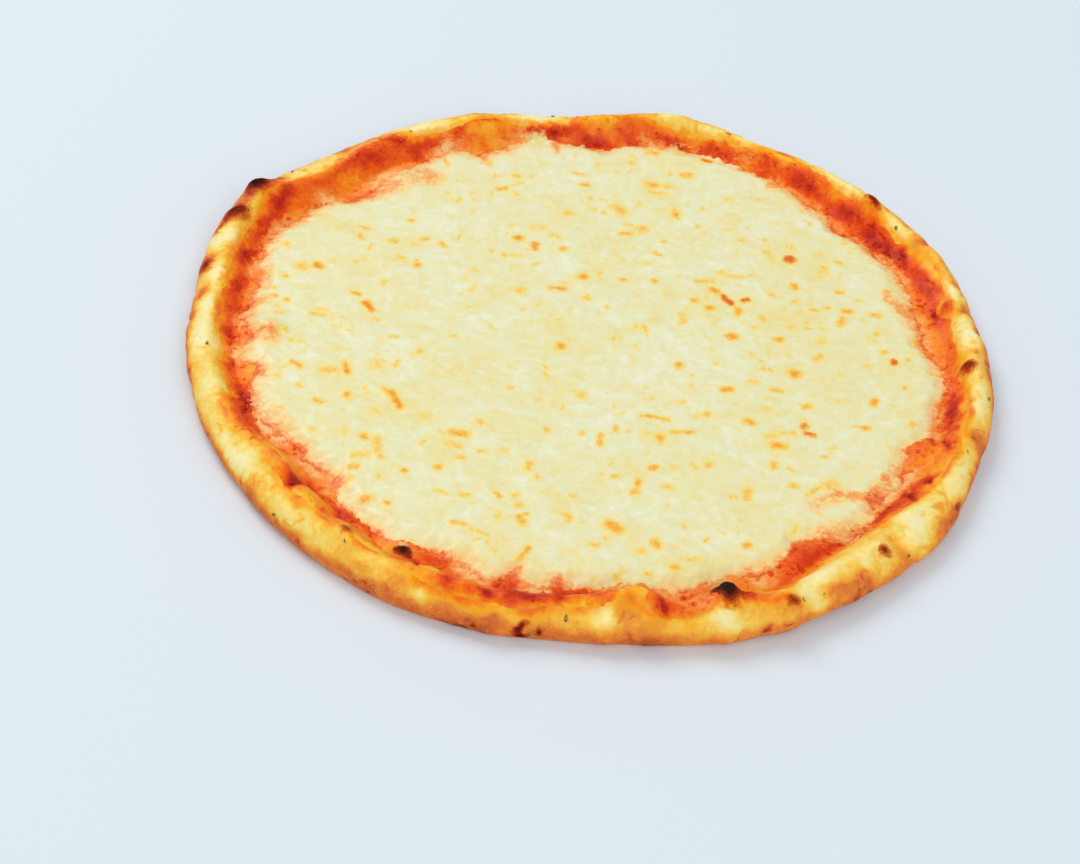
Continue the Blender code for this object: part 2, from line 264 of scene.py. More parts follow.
# Dark brown and black blisters and scorched edges of the dough.
CHAR = rows_of(
    Patch,
    (154.8, 151.8, 1.14, 4.8, 3.4), (150.8, 150.4, 0.5, 2.4, 1.8), (162.4, 150.5, 0.88, 3.8, 3.4, 12),
    (165.6, 153.5, 0.5, 3.4, 1.6), (173.4, 150.8, 0.74, 2.9, 2.3), (292.4, 138.4, 1.12, 2.2, 3.4),
    (293, 134, 1, 2.6, 2.2), (294.8, 140.4, 0.6, 2, 2.6), (289.2, 134.2, 0.75, 2, 1.8),
    (290.2, 138, 0.35, 3, 4), (43.4, 145, 0.95, 3.4, 1.1, -6), (1.8, 139, 0.78, 2.6, 1.9, 20),
    (18, 140.2, 0.38, 2.5, 1.6), (317, 144.6, 0.8, 1.8, 1.6), (314.4, 129.8, 0.75, 2, 1.8),
    (265, 148.4, 0.95, 2.2, 0.8, 20), (267.6, 148.4, 0.8, 1.2, 0.6), (87.6, 149.8, 0.75, 2, 1.4),
    (245.4, 131.9, 1.1, 3, 2.2), (234.2, 130.2, 0.75, 2.4, 1.2), (238.6, 141, 0.6, 2, 1.7, 14),
    (279.8, 127.8, 0.62, 3, 1.1), (280, 130.6, 0.5, 2.4, 1.8), (300.4, 147.8, 0.72, 2.3, 1.2, -14),
    (218.6, 126.8, 0.55, 2.4, 0.9, -30), (60.4, 140, 0.35, 2, 1), (71.8, 146, 0.45, 1.2, 0.9),
)

# Tanned places of the dough, and painted shade: the brown beside the lump at 278.6 degrees and beside the
# fold at 320 degrees stands for shade that falls there.
BROWN_AND_SHADE = rows_of(
    Patch,
    (293.6, 137, 0.3, 4, 6), (320, 143.5, 0.2, 1.8, 3.4), (330, 148.2, 0.25, 8, 2.2),
    (310, 148.6, 0.2, 6, 2), (345, 149, 0.25, 6, 2), (300, 148.8, 0.2, 6, 1.4, -12),
    (307.4, 147.6, 0.3, 3.6, 2), (312.2, 148.2, 0.26, 2.6, 1.4), (319.6, 149.2, 0.34, 2.6, 2.2),
    (328, 149.4, 0.14, 6, 1), (333, 149.2, 0.3, 3, 1), (346.2, 144, 0.42, 2.4, 5),
    (4, 149.4, 0.38, 9, 1.8), (5.8, 143, 0.35, 2.2, 1.4), (11, 149.4, 0.45, 5, 1.6),
    (16.2, 146, 0.4, 2, 4, 20), (18, 140.2, 0.42, 2.8, 1.2), (22.4, 149, 0.3, 3, 3),
    (32.4, 148.5, 0.6, 2.6, 4.6), (37.8, 150, 0.28, 4, 2.4), (43, 149, 0.22, 5, 3), (62, 152, 0.3, 8, 2),
    (78, 150.6, 0.3, 6, 3), (88, 150.6, 0.5, 3.4, 2.6), (112, 149.4, 0.34, 8, 3.6),
    (124, 152, 0.3, 3, 2.4), (137.2, 149, 0.5, 2.4, 5, 16), (142, 155, 0.4, 7, 1.6),
    (155.5, 151.8, 0.55, 8, 3.6), (161, 152, 0.35, 7, 3.6), (172.6, 152.4, 0.4, 4.4, 3),
    (179.8, 147.6, 0.42, 3.4, 2.4), (184, 149.6, 0.2, 5, 1.6), (195, 150.4, 0.2, 9, 1),
    (215, 150.4, 0.24, 5, 0.9), (222.4, 148.8, 0.22, 3.6, 1.8), (230.4, 143.4, 0.25, 1.8, 1.4),
    (243, 148.4, 0.24, 2.4, 1.2), (249, 147, 0.2, 5, 2), (255, 147.8, 0.34, 3.6, 1.8),
    (261, 149, 0.3, 4, 1.6), (266.6, 149.4, 0.24, 4, 2.6), (257, 150.4, 0.12, 7, 2),
    (278.6, 140.6, 0.46, 3.2, 3, 25), (281.2, 148.6, 0.3, 2.4, 2.4), (330.6, 148.6, 0.16, 3.6, 1.6),
    (282.6, 146.4, 0.3, 3.6, 1.6, 30),
)

# Places that stay pale, and painted highlight: the pale patch at 275.8 degrees stands for light on the
# lit side of the lump at 279.6 degrees.
PALE_AND_HIGHLIGHT = rows_of(
    Patch,
    (9.5, 142.6, 0.9, 9, 2.6), (21, 144, 0.9, 5, 3.6), (28, 144.5, 0.4, 3, 2), (37.6, 144.5, 1, 5.4, 2.6),
    (52, 147.5, 0.8, 11, 3.4), (68, 148, 0.35, 8, 2.4), (76, 145.4, 0.5, 6, 1.6), (82, 150, 0.8, 4, 3.6),
    (103.6, 144.5, 1.1, 8, 6), (122, 147, 0.9, 9, 6), (145, 147.6, 0.6, 10, 5),
    (159.4, 147.2, 0.9, 2.8, 1.3), (168.4, 148.6, 1.1, 5, 4.6), (175.6, 144.6, 0.8, 5, 3),
    (184, 146, 0.4, 3, 2.6), (189, 145, 0.9, 16, 3), (203, 145.4, 0.7, 8, 3), (214, 147, 0.8, 8, 2.2),
    (221, 145, 0.7, 7, 3), (232, 147, 0.6, 9, 2), (244, 146.4, 0.35, 4, 2), (251.4, 148.8, 0.6, 2.2, 1),
    (275.8, 143.4, 0.8, 2.6, 5, 16), (281, 148.4, 0.35, 3, 1.4), (291, 147, 0.9, 4, 2.6, -20),
    (303, 146.8, 0.8, 3.6, 3.6), (307, 139, 0.9, 6, 4), (313.6, 143, 0.5, 4, 3), (325, 142.4, 1, 11, 5),
    (337, 144, 0.7, 8, 3), (354.4, 143.6, 0.9, 7, 3),
)

# Where the sauce's oil has stained the dough beyond the sauce; the orange-brown patch at 278.6 degrees is
# painted shade beside the lump there.
STAIN_AND_SHADE = rows_of(
    Patch,
    (293.8, 137, 1, 4.4, 7), (298.8, 146.4, 1.5, 3.8, 2.2, -10), (18, 140.2, 1.7, 3.2, 2.6),
    (1.8, 139, 0.8, 3.6, 2.6), (27, 143.5, 0.5, 6, 2.4), (43, 142.8, 0.5, 5, 2), (62, 148, 0.85, 5, 5),
    (72, 145.5, 0.4, 8, 1.6), (95, 145, 1, 6.5, 5), (111, 140.5, 0.4, 7, 1.6), (131.5, 148, 1, 8, 5.4),
    (140, 143.5, 0.6, 3, 3), (153.8, 146.4, 0.8, 4, 2.2), (169, 142.6, 0.5, 5, 1.6),
    (184.5, 138.8, 0.8, 6, 2.2), (208, 140.4, 0.9, 5, 3.4), (219.5, 135.5, 0.85, 7, 3.6),
    (229, 141, 0.6, 4, 3.4), (235, 141, 0.7, 3.4, 3.4), (241.4, 141.6, 0.8, 5, 4),
    (252, 144, 0.7, 6, 3.6), (266.6, 147.4, 1, 4.4, 4), (258, 145.6, 0.7, 5, 2.4),
    (272.6, 144.4, 0.6, 3.4, 3), (278.6, 140.6, 0.6, 3.2, 3.4, 25), (281.6, 147.4, 0.7, 2.6, 3),
    (279.6, 134, 0.3, 4, 6), (285.6, 148.4, 0.6, 6, 1), (296.4, 140.5, 0.7, 3.4, 6),
    (301.6, 139, 0.6, 4, 5), (319.8, 139, 0.5, 1.8, 5, 12), (339, 137.6, 0.8, 7, 2.4),
    (342.6, 141.4, 0.4, 1.6, 1.2), (352, 139.6, 0.6, 8, 1.8),
)

# Folds in the dough and the sauce.
CREASES = rows_of(
    Crease,
    (31, 146, 33.2, 153.5, 1, 0.5), (16.2, 139, 17.4, 151, 1, 0.5), (136, 146, 137.2, 154, 1, 0.5),
    (215.2, 131.5, 219, 125.5, 0.9, 0.7), (225, 130, 227.4, 143.5, 1.3, 1.1),
    (109, 139.5, 118, 139, 1.1, 0.7), (232.6, 130, 234.8, 136.4, 1.2, 0.7),
    (241, 133.4, 243.6, 138, 1.1, 0.4), (247.8, 133, 249.6, 140, 1.2, 0.9),
    (253.6, 134, 256.2, 141, 1.3, 0.7), (258.4, 139, 261.6, 144, 1.3, 0.45),
    (262, 135, 267.4, 139, 1.2, 0.5), (268.6, 133, 271.6, 137.6, 1.2, 0.45),
    (210, 130, 213, 134, 0.9, 0.7), (203, 130, 208, 136, 0.9, 0.7), (274.6, 147, 276.6, 137, 1.6, 0.8),
    (283, 138, 284, 146, 1.2, 0.5), (297.6, 139, 299.6, 146, 1, 0.5), (321.4, 146, 320.4, 139, 1.2, 1.3),
    (320.4, 139, 323, 133.6, 1.2, 1.3), (329, 137, 332, 131.5, 0.9, 1), (333.4, 138, 337, 132.6, 0.9, 1),
    (341.6, 137.6, 346.4, 132.4, 0.9, 1), (184, 143.5, 186.6, 150.5, 0.9, 0.4),
    (198.5, 142, 201, 149.5, 0.9, 0.4), (240.5, 143, 241.4, 149, 0.9, 0.5),
    (69, 148.5, 78, 149.2, 0.8, 0.4),
)

# How red and thick the sauce is.
DEEP_SAUCE = rows_of(
    Patch,
    (8, 136.6, 0.55, 6, 1.3), (17.6, 136.6, 0.9, 5, 2.2, 12), (24, 139.4, 0.85, 6, 2),
    (33, 140, 0.9, 9, 2, -4), (39, 137.4, 1.1, 6, 3), (47, 138.6, 0.95, 6, 2.4, 14),
    (56.5, 141.6, 0.9, 7, 2), (63.4, 142.4, 0.5, 3, 2), (63.6, 136, 0.6, 2, 4),
    (72.5, 140.9, 0.8, 6, 1.1), (81, 140.6, 0.8, 5, 1, -8), (88, 138, 0.9, 5, 1.8, -22),
    (94, 133.6, 1.3, 6.2, 2.9), (342, 126.6, 0.4, 4, 2.4), (101.4, 129.4, 0.9, 1.8, 5),
    (103, 136.2, 0.7, 8, 0.9), (112.6, 139, 1, 4, 1), (118.4, 138.4, 0.9, 2.6, 1.4),
    (114.4, 131.4, 0.5, 1.6, 3.4), (124, 138.2, 0.7, 5, 1), (129.4, 143.4, 0.9, 3, 2.8),
    (135, 139.4, 1.1, 7, 2.6), (126.6, 135.4, 0.6, 3.4, 2.4), (144.8, 124.4, 0.75, 4.4, 2, -18),
    (134.8, 119.4, 0.6, 2, 3, 24), (143, 139, 0.45, 5, 0.9), (153.6, 142.6, 1, 6, 1.3, 6),
    (161, 141.8, 0.7, 7, 1), (168, 139.4, 0.9, 6, 1.2, -10), (176, 136.6, 0.9, 6, 1.6, -14),
    (181, 133.4, 0.6, 3, 2.4), (187.4, 134.2, 0.55, 4, 2), (194.4, 134, 0.7, 2.4, 1),
    (203, 131.6, 1.2, 5, 2.4), (209.6, 136, 0.8, 6, 2.6), (217.4, 123, 0.6, 2.6, 1.2, 14),
    (225.8, 137, 1.1, 1.5, 7, -14), (232, 130.2, 1.1, 8, 1.1), (238.8, 129.8, 0.6, 3, 1),
    (250.4, 130, 0.7, 4.4, 3), (254.2, 139.5, 0.9, 1.8, 4), (259.8, 144, 0.8, 1.8, 2.2),
    (263.6, 138, 0.8, 3.4, 4.6), (269.4, 137, 0.8, 1.2, 5), (266, 139.4, 0.8, 5, 0.9),
    (259.4, 141.8, 0.7, 3.6, 0.9, 14), (228.4, 131.6, 1, 5, 0.9, -16), (240.6, 133.6, 0.8, 3.4, 0.9, -20),
    (247.6, 133.8, 0.9, 3.6, 1), (260.4, 130, 0.6, 1.6, 2), (262.4, 127, 0.7, 1.4, 3),
    (272.4, 129, 1.2, 6, 1.5, -12), (274.6, 134.6, 0.5, 1.8, 4), (282.8, 137, 0.9, 1.4, 6),
    (288, 130.6, 0.5, 4, 1.2), (308.4, 128.4, 0.7, 7, 3.6), (313.6, 129.6, 0.5, 2.4, 2),
    (326.4, 131, 0.8, 8, 2, -6), (331.2, 131.6, 1.3, 2.2, 1.2, -20), (335.4, 134.4, 1.1, 3.4, 1.2, -36),
    (327.4, 123.4, 1.3, 2.8, 1.4), (344.6, 129.6, 1.1, 2.6, 1, 30), (353, 134.4, 1, 8, 2.4),
)

# Where the sauce is thin and orange with oil.
OILY_SAUCE = rows_of(
    Patch,
    (11, 133.5, 0.6, 9, 2.2), (17, 127, 0.7, 4, 3.4), (28, 143.4, 0.9, 7, 1.6), (62, 146, 0.9, 5, 3.4),
    (67, 136.4, 0.8, 1.8, 3.6), (93, 144, 1.4, 8, 4.6), (113.6, 137, 1.1, 5, 1.8), (112, 128, 0.8, 8, 5),
    (115.6, 124, 0.9, 1.4, 4.6), (128.6, 118, 0.7, 3, 5), (133, 147, 1, 9, 4), (142, 135.6, 0.4, 5, 4),
    (153.6, 134.6, 0.9, 3, 3), (188, 120, 0.9, 4.6, 3.4), (197, 126, 0.85, 3.6, 3),
    (210.5, 140.4, 0.5, 7, 2), (219.5, 135, 1.3, 6, 4), (230, 137.5, 1, 4, 6), (242, 138, 1.1, 6, 5),
    (251, 138.5, 1.1, 4, 4.4), (257.4, 138.6, 0.5, 3, 4), (272.4, 138, 0.6, 4, 5), (279, 133, 1.2, 4, 7),
    (286, 148.4, 1.1, 6, 1.2), (298.4, 138, 0.9, 4, 5), (309, 132.4, 0.4, 7, 1.4),
    (337, 135.6, 0.9, 6, 2.6), (342, 130.4, 0.4, 5, 3), (352, 138.4, 0.6, 8, 1.3),
)

# Where milk from the cheese has run into the sauce and turned it pink.
MILKY_SAUCE = rows_of(
    Patch,
    (14, 129, 0.6, 12, 3.4), (28.6, 135.4, 0.6, 4, 3), (35.6, 133, 0.9, 8, 2.6), (50, 134, 0.6, 8, 2.4),
    (58, 137, 0.4, 5, 2), (83.5, 135.6, 0.9, 6, 3), (105, 134, 1, 5, 2.6), (121.6, 134.6, 1, 4.6, 3),
    (133, 123, 0.6, 7, 7), (137, 130.6, 0.7, 8, 3), (146.8, 133, 1.1, 3.4, 4), (157.4, 138, 0.7, 5, 3.4),
    (170, 135, 0.6, 7, 2), (183.6, 131, 0.8, 4, 2.6), (191.8, 131, 1, 4, 3.6), (210, 127.5, 1.2, 10, 4),
    (224, 125.5, 0.8, 8, 4), (255, 130, 1, 5, 4), (261, 137.4, 0.9, 2.4, 4.4), (265.8, 130, 1, 4, 3),
    (286.4, 137, 0.9, 5, 7), (289, 142, 0.6, 3, 4), (300, 131.5, 0.9, 5, 3.6), (318, 126, 1.1, 8, 5),
    (329, 126, 0.9, 9, 3), (336, 129.6, 0.9, 4, 2.4), (347, 133.6, 0.9, 4, 1.8, -24),
    (351, 130, 0.7, 6, 2),
)

# Reddened places in the cheese: over the fringe, and where sauce has come up through it.
BLUSH = rows_of(
    Patch,
    (5, 129, 0.45, 5, 3), (12, 126, 0.6, 6, 4), (19, 125, 0.75, 6, 5), (22.6, 121, 0.6, 5, 1.6, 14),
    (28, 131, 0.5, 4, 3), (36, 130, 0.55, 6, 3), (42, 131.6, 0.55, 6, 2.2), (45, 129, 0.6, 3.4, 3.4),
    (53, 134.4, 0.45, 6, 2), (51, 130, 0.5, 7, 4), (58, 134, 0.4, 5, 3), (60.6, 132, 0.75, 1.8, 3.6),
    (63.4, 136.4, 0.95, 1.8, 3), (67.2, 136.6, 0.8, 1.6, 2.6), (84, 134.6, 0.5, 6, 3.4),
    (94.4, 127, 0.9, 2.6, 2.6), (101.2, 127.6, 1.1, 2, 4.2), (111, 128, 0.6, 6, 5),
    (115.6, 124, 0.8, 2, 6), (121.6, 133, 0.6, 4, 4), (128, 119, 0.75, 4, 6), (134, 120, 0.7, 7, 5),
    (141, 124, 0.7, 6, 5, -18), (145, 123.8, 0.9, 4.6, 2.6, -18), (149, 131, 0.55, 3.6, 3.6),
    (155, 132.5, 0.6, 5, 3.4), (163, 135, 0.4, 7, 3), (172, 130, 0.6, 5, 3.4, -10),
    (178.4, 126, 0.6, 5, 4), (184, 129, 0.5, 4, 3), (188.4, 119.6, 0.95, 5, 3), (189, 126.4, 0.6, 3.6, 2),
    (197, 125.4, 0.95, 4, 3), (203, 128.4, 0.6, 4, 2), (211, 124.6, 0.6, 6, 4),
    (217.4, 122.6, 1, 3, 1.6, 14), (222, 124, 0.6, 5, 4), (227.6, 121, 0.9, 2.4, 3),
    (240, 129, 0.5, 4, 2), (250.6, 127.6, 0.9, 4, 3), (256, 129, 0.4, 5, 3.6), (262, 124.6, 0.85, 2.6, 4),
    (268.6, 124.6, 0.75, 3, 2), (290, 128.4, 0.6, 4, 2), (299, 127, 0.7, 5, 3),
    (309.6, 124.4, 0.7, 8, 2.6), (316, 124, 0.55, 7, 5), (318, 111, 0.6, 4, 3, -20),
    (322.6, 112.4, 0.75, 4, 2.4), (325, 118, 0.75, 1.8, 5, 30), (328, 122.6, 0.9, 5, 2.6),
    (332.6, 121, 0.8, 2.6, 1.8), (336, 124, 0.8, 3, 2.6), (341, 122.4, 0.6, 4, 2.6),
    (352, 129, 0.5, 6, 3),
)

# Bits of dried leaf, whose strength is how thick they are.
HERB_BITS = rows_of(
    Patch,
    (37.5, 144.6, 0.8, 1.5, 0.7, 30), (101, 147, 0.9, 1.3, 1.7), (147.4, 151.4, 0.8, 2.2, 0.8, -24),
    (193, 142.2, 1, 1.7, 1, 34), (228, 149.2, 0.6, 1, 0.5), (239.4, 144.8, 0.6, 0.9, 0.5, 20),
    (270.6, 144.8, 0.9, 0.8, 1.6, 20), (302, 147.8, 0.6, 1, 0.6, 40), (305.2, 147.6, 0.5, 0.7, 0.4),
    (320.4, 148.6, 0.5, 0.9, 0.6), (356.4, 147.2, 0.8, 1.5, 0.8, 30), (343, 143, 0.6, 0.9, 0.6),
    (161, 146.6, 0.6, 1.1, 0.7, 10), (126, 144, 0.7, 0.8, 0.8),
)

# The flecks that stand out in the cheese, one after the other from the back to the front of each
# quarter: x, y, length, width, turn, strength and, where it isn't 0, redness.
FLECKS = rows_of(
    Mark,
    (-7, 115, 4, 2, 90, 0.55), (-39, 100, 4, 2.6, 0, 0.7), (-33, 101, 3, 2, 80, 0.55),
    (-11, 99.5, 5, 2.6, 0, 0.75), (-12, 106, 4, 2, 80, 0.45), (-8, 91, 4, 1.8, -60, 0.6),
    (-44, 90.5, 6, 2.6, 20, 0.75), (-38, 95, 8, 1.8, 35, 0.5), (-47.5, 86, 5, 1.6, -75, 0.5),
    (-55, 85, 4, 2, 35, 0.5), (-60, 79, 5, 2, 70, 0.5), (-65, 83, 4, 2, 70, 0.45),
    (-38, 88, 4, 2, -40, 0.5), (-16, 79, 4.5, 4, 0, 0.6), (-2, 82, 3, 2.4, 0, 0.65),
    (-51, 108, 6, 3, -70, 0.6), (-68, 104, 7, 1.8, -65, 0.6), (-72, 91, 7, 5, 0, 0.8, 0.3),
    (-77, 62, 4, 3, -20, 0.7), (-77, 68, 5, 1.6, 90, 0.4), (-94, 54, 6, 2.6, -25, 0.6),
    (-95, 48, 4.5, 3, -60, 0.65), (-82, 48, 4.5, 3.5, 0, 0.7), (-70, 51, 5, 2.4, 20, 0.6),
    (-63, 49, 5, 2.4, -50, 0.75), (-57, 55, 6, 2, 80, 0.45), (-34, 59, 4.4, 4, 0, 0.9, 0.5),
    (-27, 55, 7, 3.4, 95, 0.7, 0.85), (-20, 63, 6, 2.6, -25, 0.6, 0.4), (-27, 67, 9, 6, 0, 0.4, 0.2),
    (-16, 55, 3.4, 3.2, 0, 0.85), (-37.5, 66.5, 4, 3, 60, 0.45), (-38.5, 47, 2.6, 2.4, 0, 0.75),
    (-34, 47.5, 7, 2.6, 0, 0.5), (-26, 43, 4, 2, 50, 0.55), (-7, 39, 4, 4, 0, 0.95),
    (-1, 42, 5, 3, 90, 0.5), (-16, 30, 9, 3.4, 5, 0.6, 0.8), (-14, 34, 6, 3, 40, 0.4, 0.6),
    (-4.5, 25.5, 4, 3, 0, 0.6), (-30, 26, 4, 3.6, 0, 0.75), (-71, 34.5, 4, 3.6, 0, 0.8),
    (-77.5, 37.5, 5, 3, -30, 0.55), (-122, 38, 3, 3, 0, 0.7), (-82, 21, 6, 3, 80, 0.5),
    (-49, 35, 4, 2.6, -45, 0.5), (-40, 33, 3, 2.6, 0, 0.45), (-52, 29, 3, 2.6, 0, 0.5),
    (-23, 18, 4, 3.4, 0, 0.4), (-10, 18, 3, 3, 0, 0.45), (-13, 7, 4, 2.6, 0, 0.45),
    (-108, 27, 5.4, 3.2, -50, 1, 0.4), (-114, 25, 7, 6, 0, 0.6), (-104, 30, 5, 2, 20, 0.5),
    (-119, 18, 3, 2.4, 0, 0.65), (-91, 12.5, 4.4, 2.6, -20, 0.8), (-85.5, 6, 8, 3.2, -55, 1.05, 0.4),
    (-116, 4, 3, 2.6, 0, 0.75), (-122, 5.5, 6, 3, 20, 0.75), (-123, 10.5, 5, 2, 0, 0.6),
    (-72, 8, 3, 2.6, 0, 0.4), (-48, 12, 4, 2, 20, 0.4), (-102, 1, 6, 3, 0, 0.5),
    (-104, 52, 6, 3, 80, 0.4), (38, 127, 5, 3.2, 0, 1.05, 0.6), (15, 128, 6, 3.2, 0, 0.85),
    (7, 119, 4, 3, 0, 0.65), (7, 124, 3, 2.6, 0, 0.5), (23, 114, 4, 3, 90, 0.5),
    (30, 114.5, 6.4, 4, 20, 0.7), (53, 125, 6, 3, 90, 0.8), (62, 122, 6, 3.6, 20, 0.95, 0.6),
    (65, 116, 8, 3.2, 80, 0.8, 0.1), (60, 103, 3.4, 3, 0, 0.45), (16, 105, 8, 5, 0, 0.65),
    (23, 105, 5, 4, 0, 0.6), (19, 99.5, 10, 3, 0, 0.5), (48, 101, 5, 2.6, 25, 0.5),
    (37.5, 93, 3, 2.6, 90, 0.5), (27, 86, 4.4, 3.6, 60, 0.9), (11.5, 90, 6, 3, 80, 0.45),
    (67, 88, 3, 2.6, 30, 0.4), (4, 85, 10, 6.4, -45, 0.6), (36, 80, 4, 2.6, 80, 0.5),
    (39, 76, 4, 2, -45, 0.4), (13.5, 74, 6.4, 5, 0, 0.6), (8, 76, 5, 3, 0, 0.5),
    (8, 70, 6, 3.4, 0, 0.7, 0.5), (95, 80.5, 3.4, 2.2, 0, 0.55), (78, 99, 3, 3, 0, 0.5),
    (53.5, 74, 3.6, 3.2, 0, 0.65), (63, 76, 3.6, 3, 0, 0.5), (64, 68, 4, 3.6, 0, 0.5),
    (73, 65, 5, 4.4, 60, 1, 0.95), (66, 65, 7, 6, 0, 0.35, 0.9), (92, 67, 4, 3, 0, 0.55),
    (84, 70, 7, 3, 60, 0.4), (86, 60, 9, 4.6, 80, 0.45), (17, 52, 5, 4, 0, 0.45),
    (58, 52, 5, 2, 20, 0.45), (75, 48, 5, 3.2, 90, 0.85), (92.5, 47.5, 4, 2.6, 0, 0.75),
    (111, 50, 6, 3.4, 80, 0.6, 0.95), (46, 52, 5, 3, 20, 0.5), (40, 45, 9, 2.6, 10, 0.6),
    (51, 50, 9, 2.6, 0, 0.55), (20.5, 41, 3, 3, 0, 0.85), (8.5, 40, 3.4, 2.6, 0, 0.7),
    (44, 39.5, 5.4, 3.2, -30, 0.9, 0.3), (49, 35, 8, 2.8, -50, 1, 0.8),
    (56, 36, 5.4, 2.8, 30, 0.85, 0.75), (36.5, 32, 3.2, 3, 0, 0.9), (42.5, 28.5, 4, 3.2, 40, 0.85),
    (53.5, 28.5, 5.4, 2.8, 90, 0.9), (63, 26, 4, 3.6, 0, 0.5), (73.5, 22.5, 3.4, 2.2, 0, 0.65),
    (60, 20, 3, 2.4, 0, 0.45), (69.5, 14, 3.4, 3, 90, 0.9), (51.5, 13, 5.4, 4.2, 0, 0.9),
    (32.5, 20, 9, 4, 90, 0.5), (34, 26, 4, 2.6, 80, 0.45), (25, 35, 9, 2.4, 85, 0.3),
    (87.5, 36.5, 3.4, 1.8, 10, 0.7), (82.5, 34.5, 4.4, 2.4, 0, 0.6), (95, 36, 5.4, 3.6, 0, 0.85),
    (93, 29, 8, 3.2, 70, 0.65), (106, 36, 6.4, 3.6, 0, 0.6), (120, 39, 5, 2.4, 0, 0.85),
    (123, 22, 5, 3.2, -30, 0.9, 0.3), (109, 14, 5, 3, 30, 0.6), (112.5, 8.5, 4, 3, 90, 1.05, 0.8),
    (118, 11, 3, 2.2, 0, 0.6, 0.4), (85, 16, 5, 4, 0, 0.45), (80, 23, 3.4, 2, 0, 0.5),
    (86, 23.5, 5, 2, 0, 0.4), (7, 3.5, 2.4, 2.2, 0, 0.75), (73, 4.5, 3, 2.6, 0, 0.5),
    (84, 6, 6.4, 3, 50, 0.6), (127, 5, 4, 3, 80, 0.6), (114, 44, 6, 4, 80, 0.5, 0.7),
    (-12, -4.5, 4, 3.4, 90, 1.05, 0.15), (-118, -16, 5.4, 5, 0, 0.95, 0.35),
    (-113, -14, 6, 2.2, -50, 0.5, 0.3), (-117, -21, 6, 4, 0, 0.5), (-107, -19, 3.4, 3, 0, 0.5),
    (-106, -32, 6.4, 2.8, -30, 0.8), (-94, -33, 8.4, 4, 10, 0.6), (-88, -31, 8, 2.6, -70, 0.85, 0.5),
    (-96, -8, 4, 3, -30, 0.4), (-117, -4, 4.4, 2.2, 10, 0.6), (-103, -2, 8, 3, 0, 0.55),
    (-77, -27, 7, 7, 0, 0.5), (-78, -14, 4, 4, 0, 0.35), (-73.5, -10, 4.4, 2.2, 0, 0.6),
    (-63, -17, 4.4, 2.6, 75, 0.6), (-16, -22, 5, 2.2, -60, 0.5), (-29, -19, 5, 4, 80, 0.35),
    (-28, -31.5, 2.6, 2.4, 0, 0.65), (-2, -31, 4.4, 4, 0, 0.65), (-17.5, -36, 4, 2, 10, 0.5),
    (-68, -45, 11, 2.8, -60, 1, 0.12), (-72, -41, 6, 2.8, -50, 0.7), (-79, -42, 7, 2, -65, 0.45),
    (-85.5, -45.5, 3.8, 3.2, 90, 0.85), (-103, -43, 3.4, 2.6, -50, 0.65), (-112, -40, 3, 2, 0, 0.45),
    (-95, -50.5, 5.4, 2.8, -20, 0.75), (-37, -52, 3.4, 3, 0, 0.7), (-33, -46, 4, 2, 30, 0.35),
    (-43.5, -59, 8.4, 3.6, 0, 0.85), (-49, -59.5, 5, 2.2, -10, 0.5), (-45, -65, 9, 4, -15, 0.5),
    (-57, -53, 6, 4, 80, 0.4), (-73.5, -53, 5, 4, 0, 0.45, 0.4), (-76, -66.5, 4.4, 3, -45, 0.8),
    (-71, -70, 11, 4, -80, 0.6), (-76, -76, 8, 4, 20, 0.55), (-69, -76, 3.4, 3, 0, 0.65),
    (-84, -65, 5, 5, 0, 0.4), (-41.5, -71.5, 3.4, 2.8, 0, 0.85), (-48.5, -78, 4, 2.8, 10, 0.85),
    (-59.8, -81.5, 2.6, 2.4, 0, 0.85), (-27, -65, 4, 2.6, 0, 0.5), (-17.5, -72, 5.4, 3.2, 85, 0.7),
    (-68, -86, 3.4, 2.2, 90, 0.55), (-77.5, -82, 4.4, 2.8, 0, 0.8), (-79, -89, 5.4, 3.2, 50, 0.85, 0.4),
    (-84, -87, 6, 4, 60, 0.8, 0.6), (-70.5, -97.5, 3.8, 3.6, 0, 0.95), (-63.2, -98.5, 3, 2.6, 0, 0.85),
    (-46, -90, 6, 2, -30, 0.55), (-37.5, -90, 5.4, 2.4, 10, 0.7), (-26.5, -88, 4.4, 2.2, -50, 0.8),
    (-20.5, -87.5, 4, 2.2, 50, 0.55), (-19, -92, 3.4, 3, 0, 0.7), (-17.5, -99, 6.4, 2.6, -60, 0.8),
    (-8, -101.5, 2.2, 2, 0, 0.5), (-2, -95, 5.4, 3, -60, 0.7), (-9.5, -84, 5, 2.2, 85, 0.4),
    (-38, -104, 6.4, 2.2, -5, 0.7), (-31, -107, 9, 2, -20, 0.6), (-15, -115, 10, 2.2, 65, 0.8),
    (-25, -115, 4, 2.2, -20, 0.5), (75, -5, 5.4, 4.6, 0, 0.9), (65, -4.5, 6.4, 2.4, -10, 0.5),
    (46, -4, 5, 2.2, 50, 0.4), (32.5, -7.5, 4.4, 3.4, 90, 0.8), (50.5, -18.5, 5.4, 3.2, 15, 0.9),
    (44, -17.5, 9, 1.6, 0, 0.35), (69, -15.5, 6.4, 3, 0, 0.6), (79.5, -23, 4.4, 3.2, 30, 0.75),
    (65, -27, 5, 3.6, -60, 0.5), (92, -2, 3.4, 2.2, 70, 0.5), (104.5, -16, 5.4, 2.8, 72, 0.85),
    (116, -5.5, 3.4, 2.6, 50, 0.5, 1), (118, -26, 4, 2.8, 90, 0.8), (101, -31, 3.6, 3, 0, 0.85),
    (97, -31, 4, 2, 0, 0.5), (79, -34, 5, 3.6, 80, 0.7, 0.95), (81, -38, 5, 2.8, -10, 0.85, 0.85),
    (59, -35, 5, 3.6, -20, 0.85), (43.5, -33.5, 3.8, 3, 0, 0.65), (39.5, -35.5, 3, 2.6, 60, 0.55),
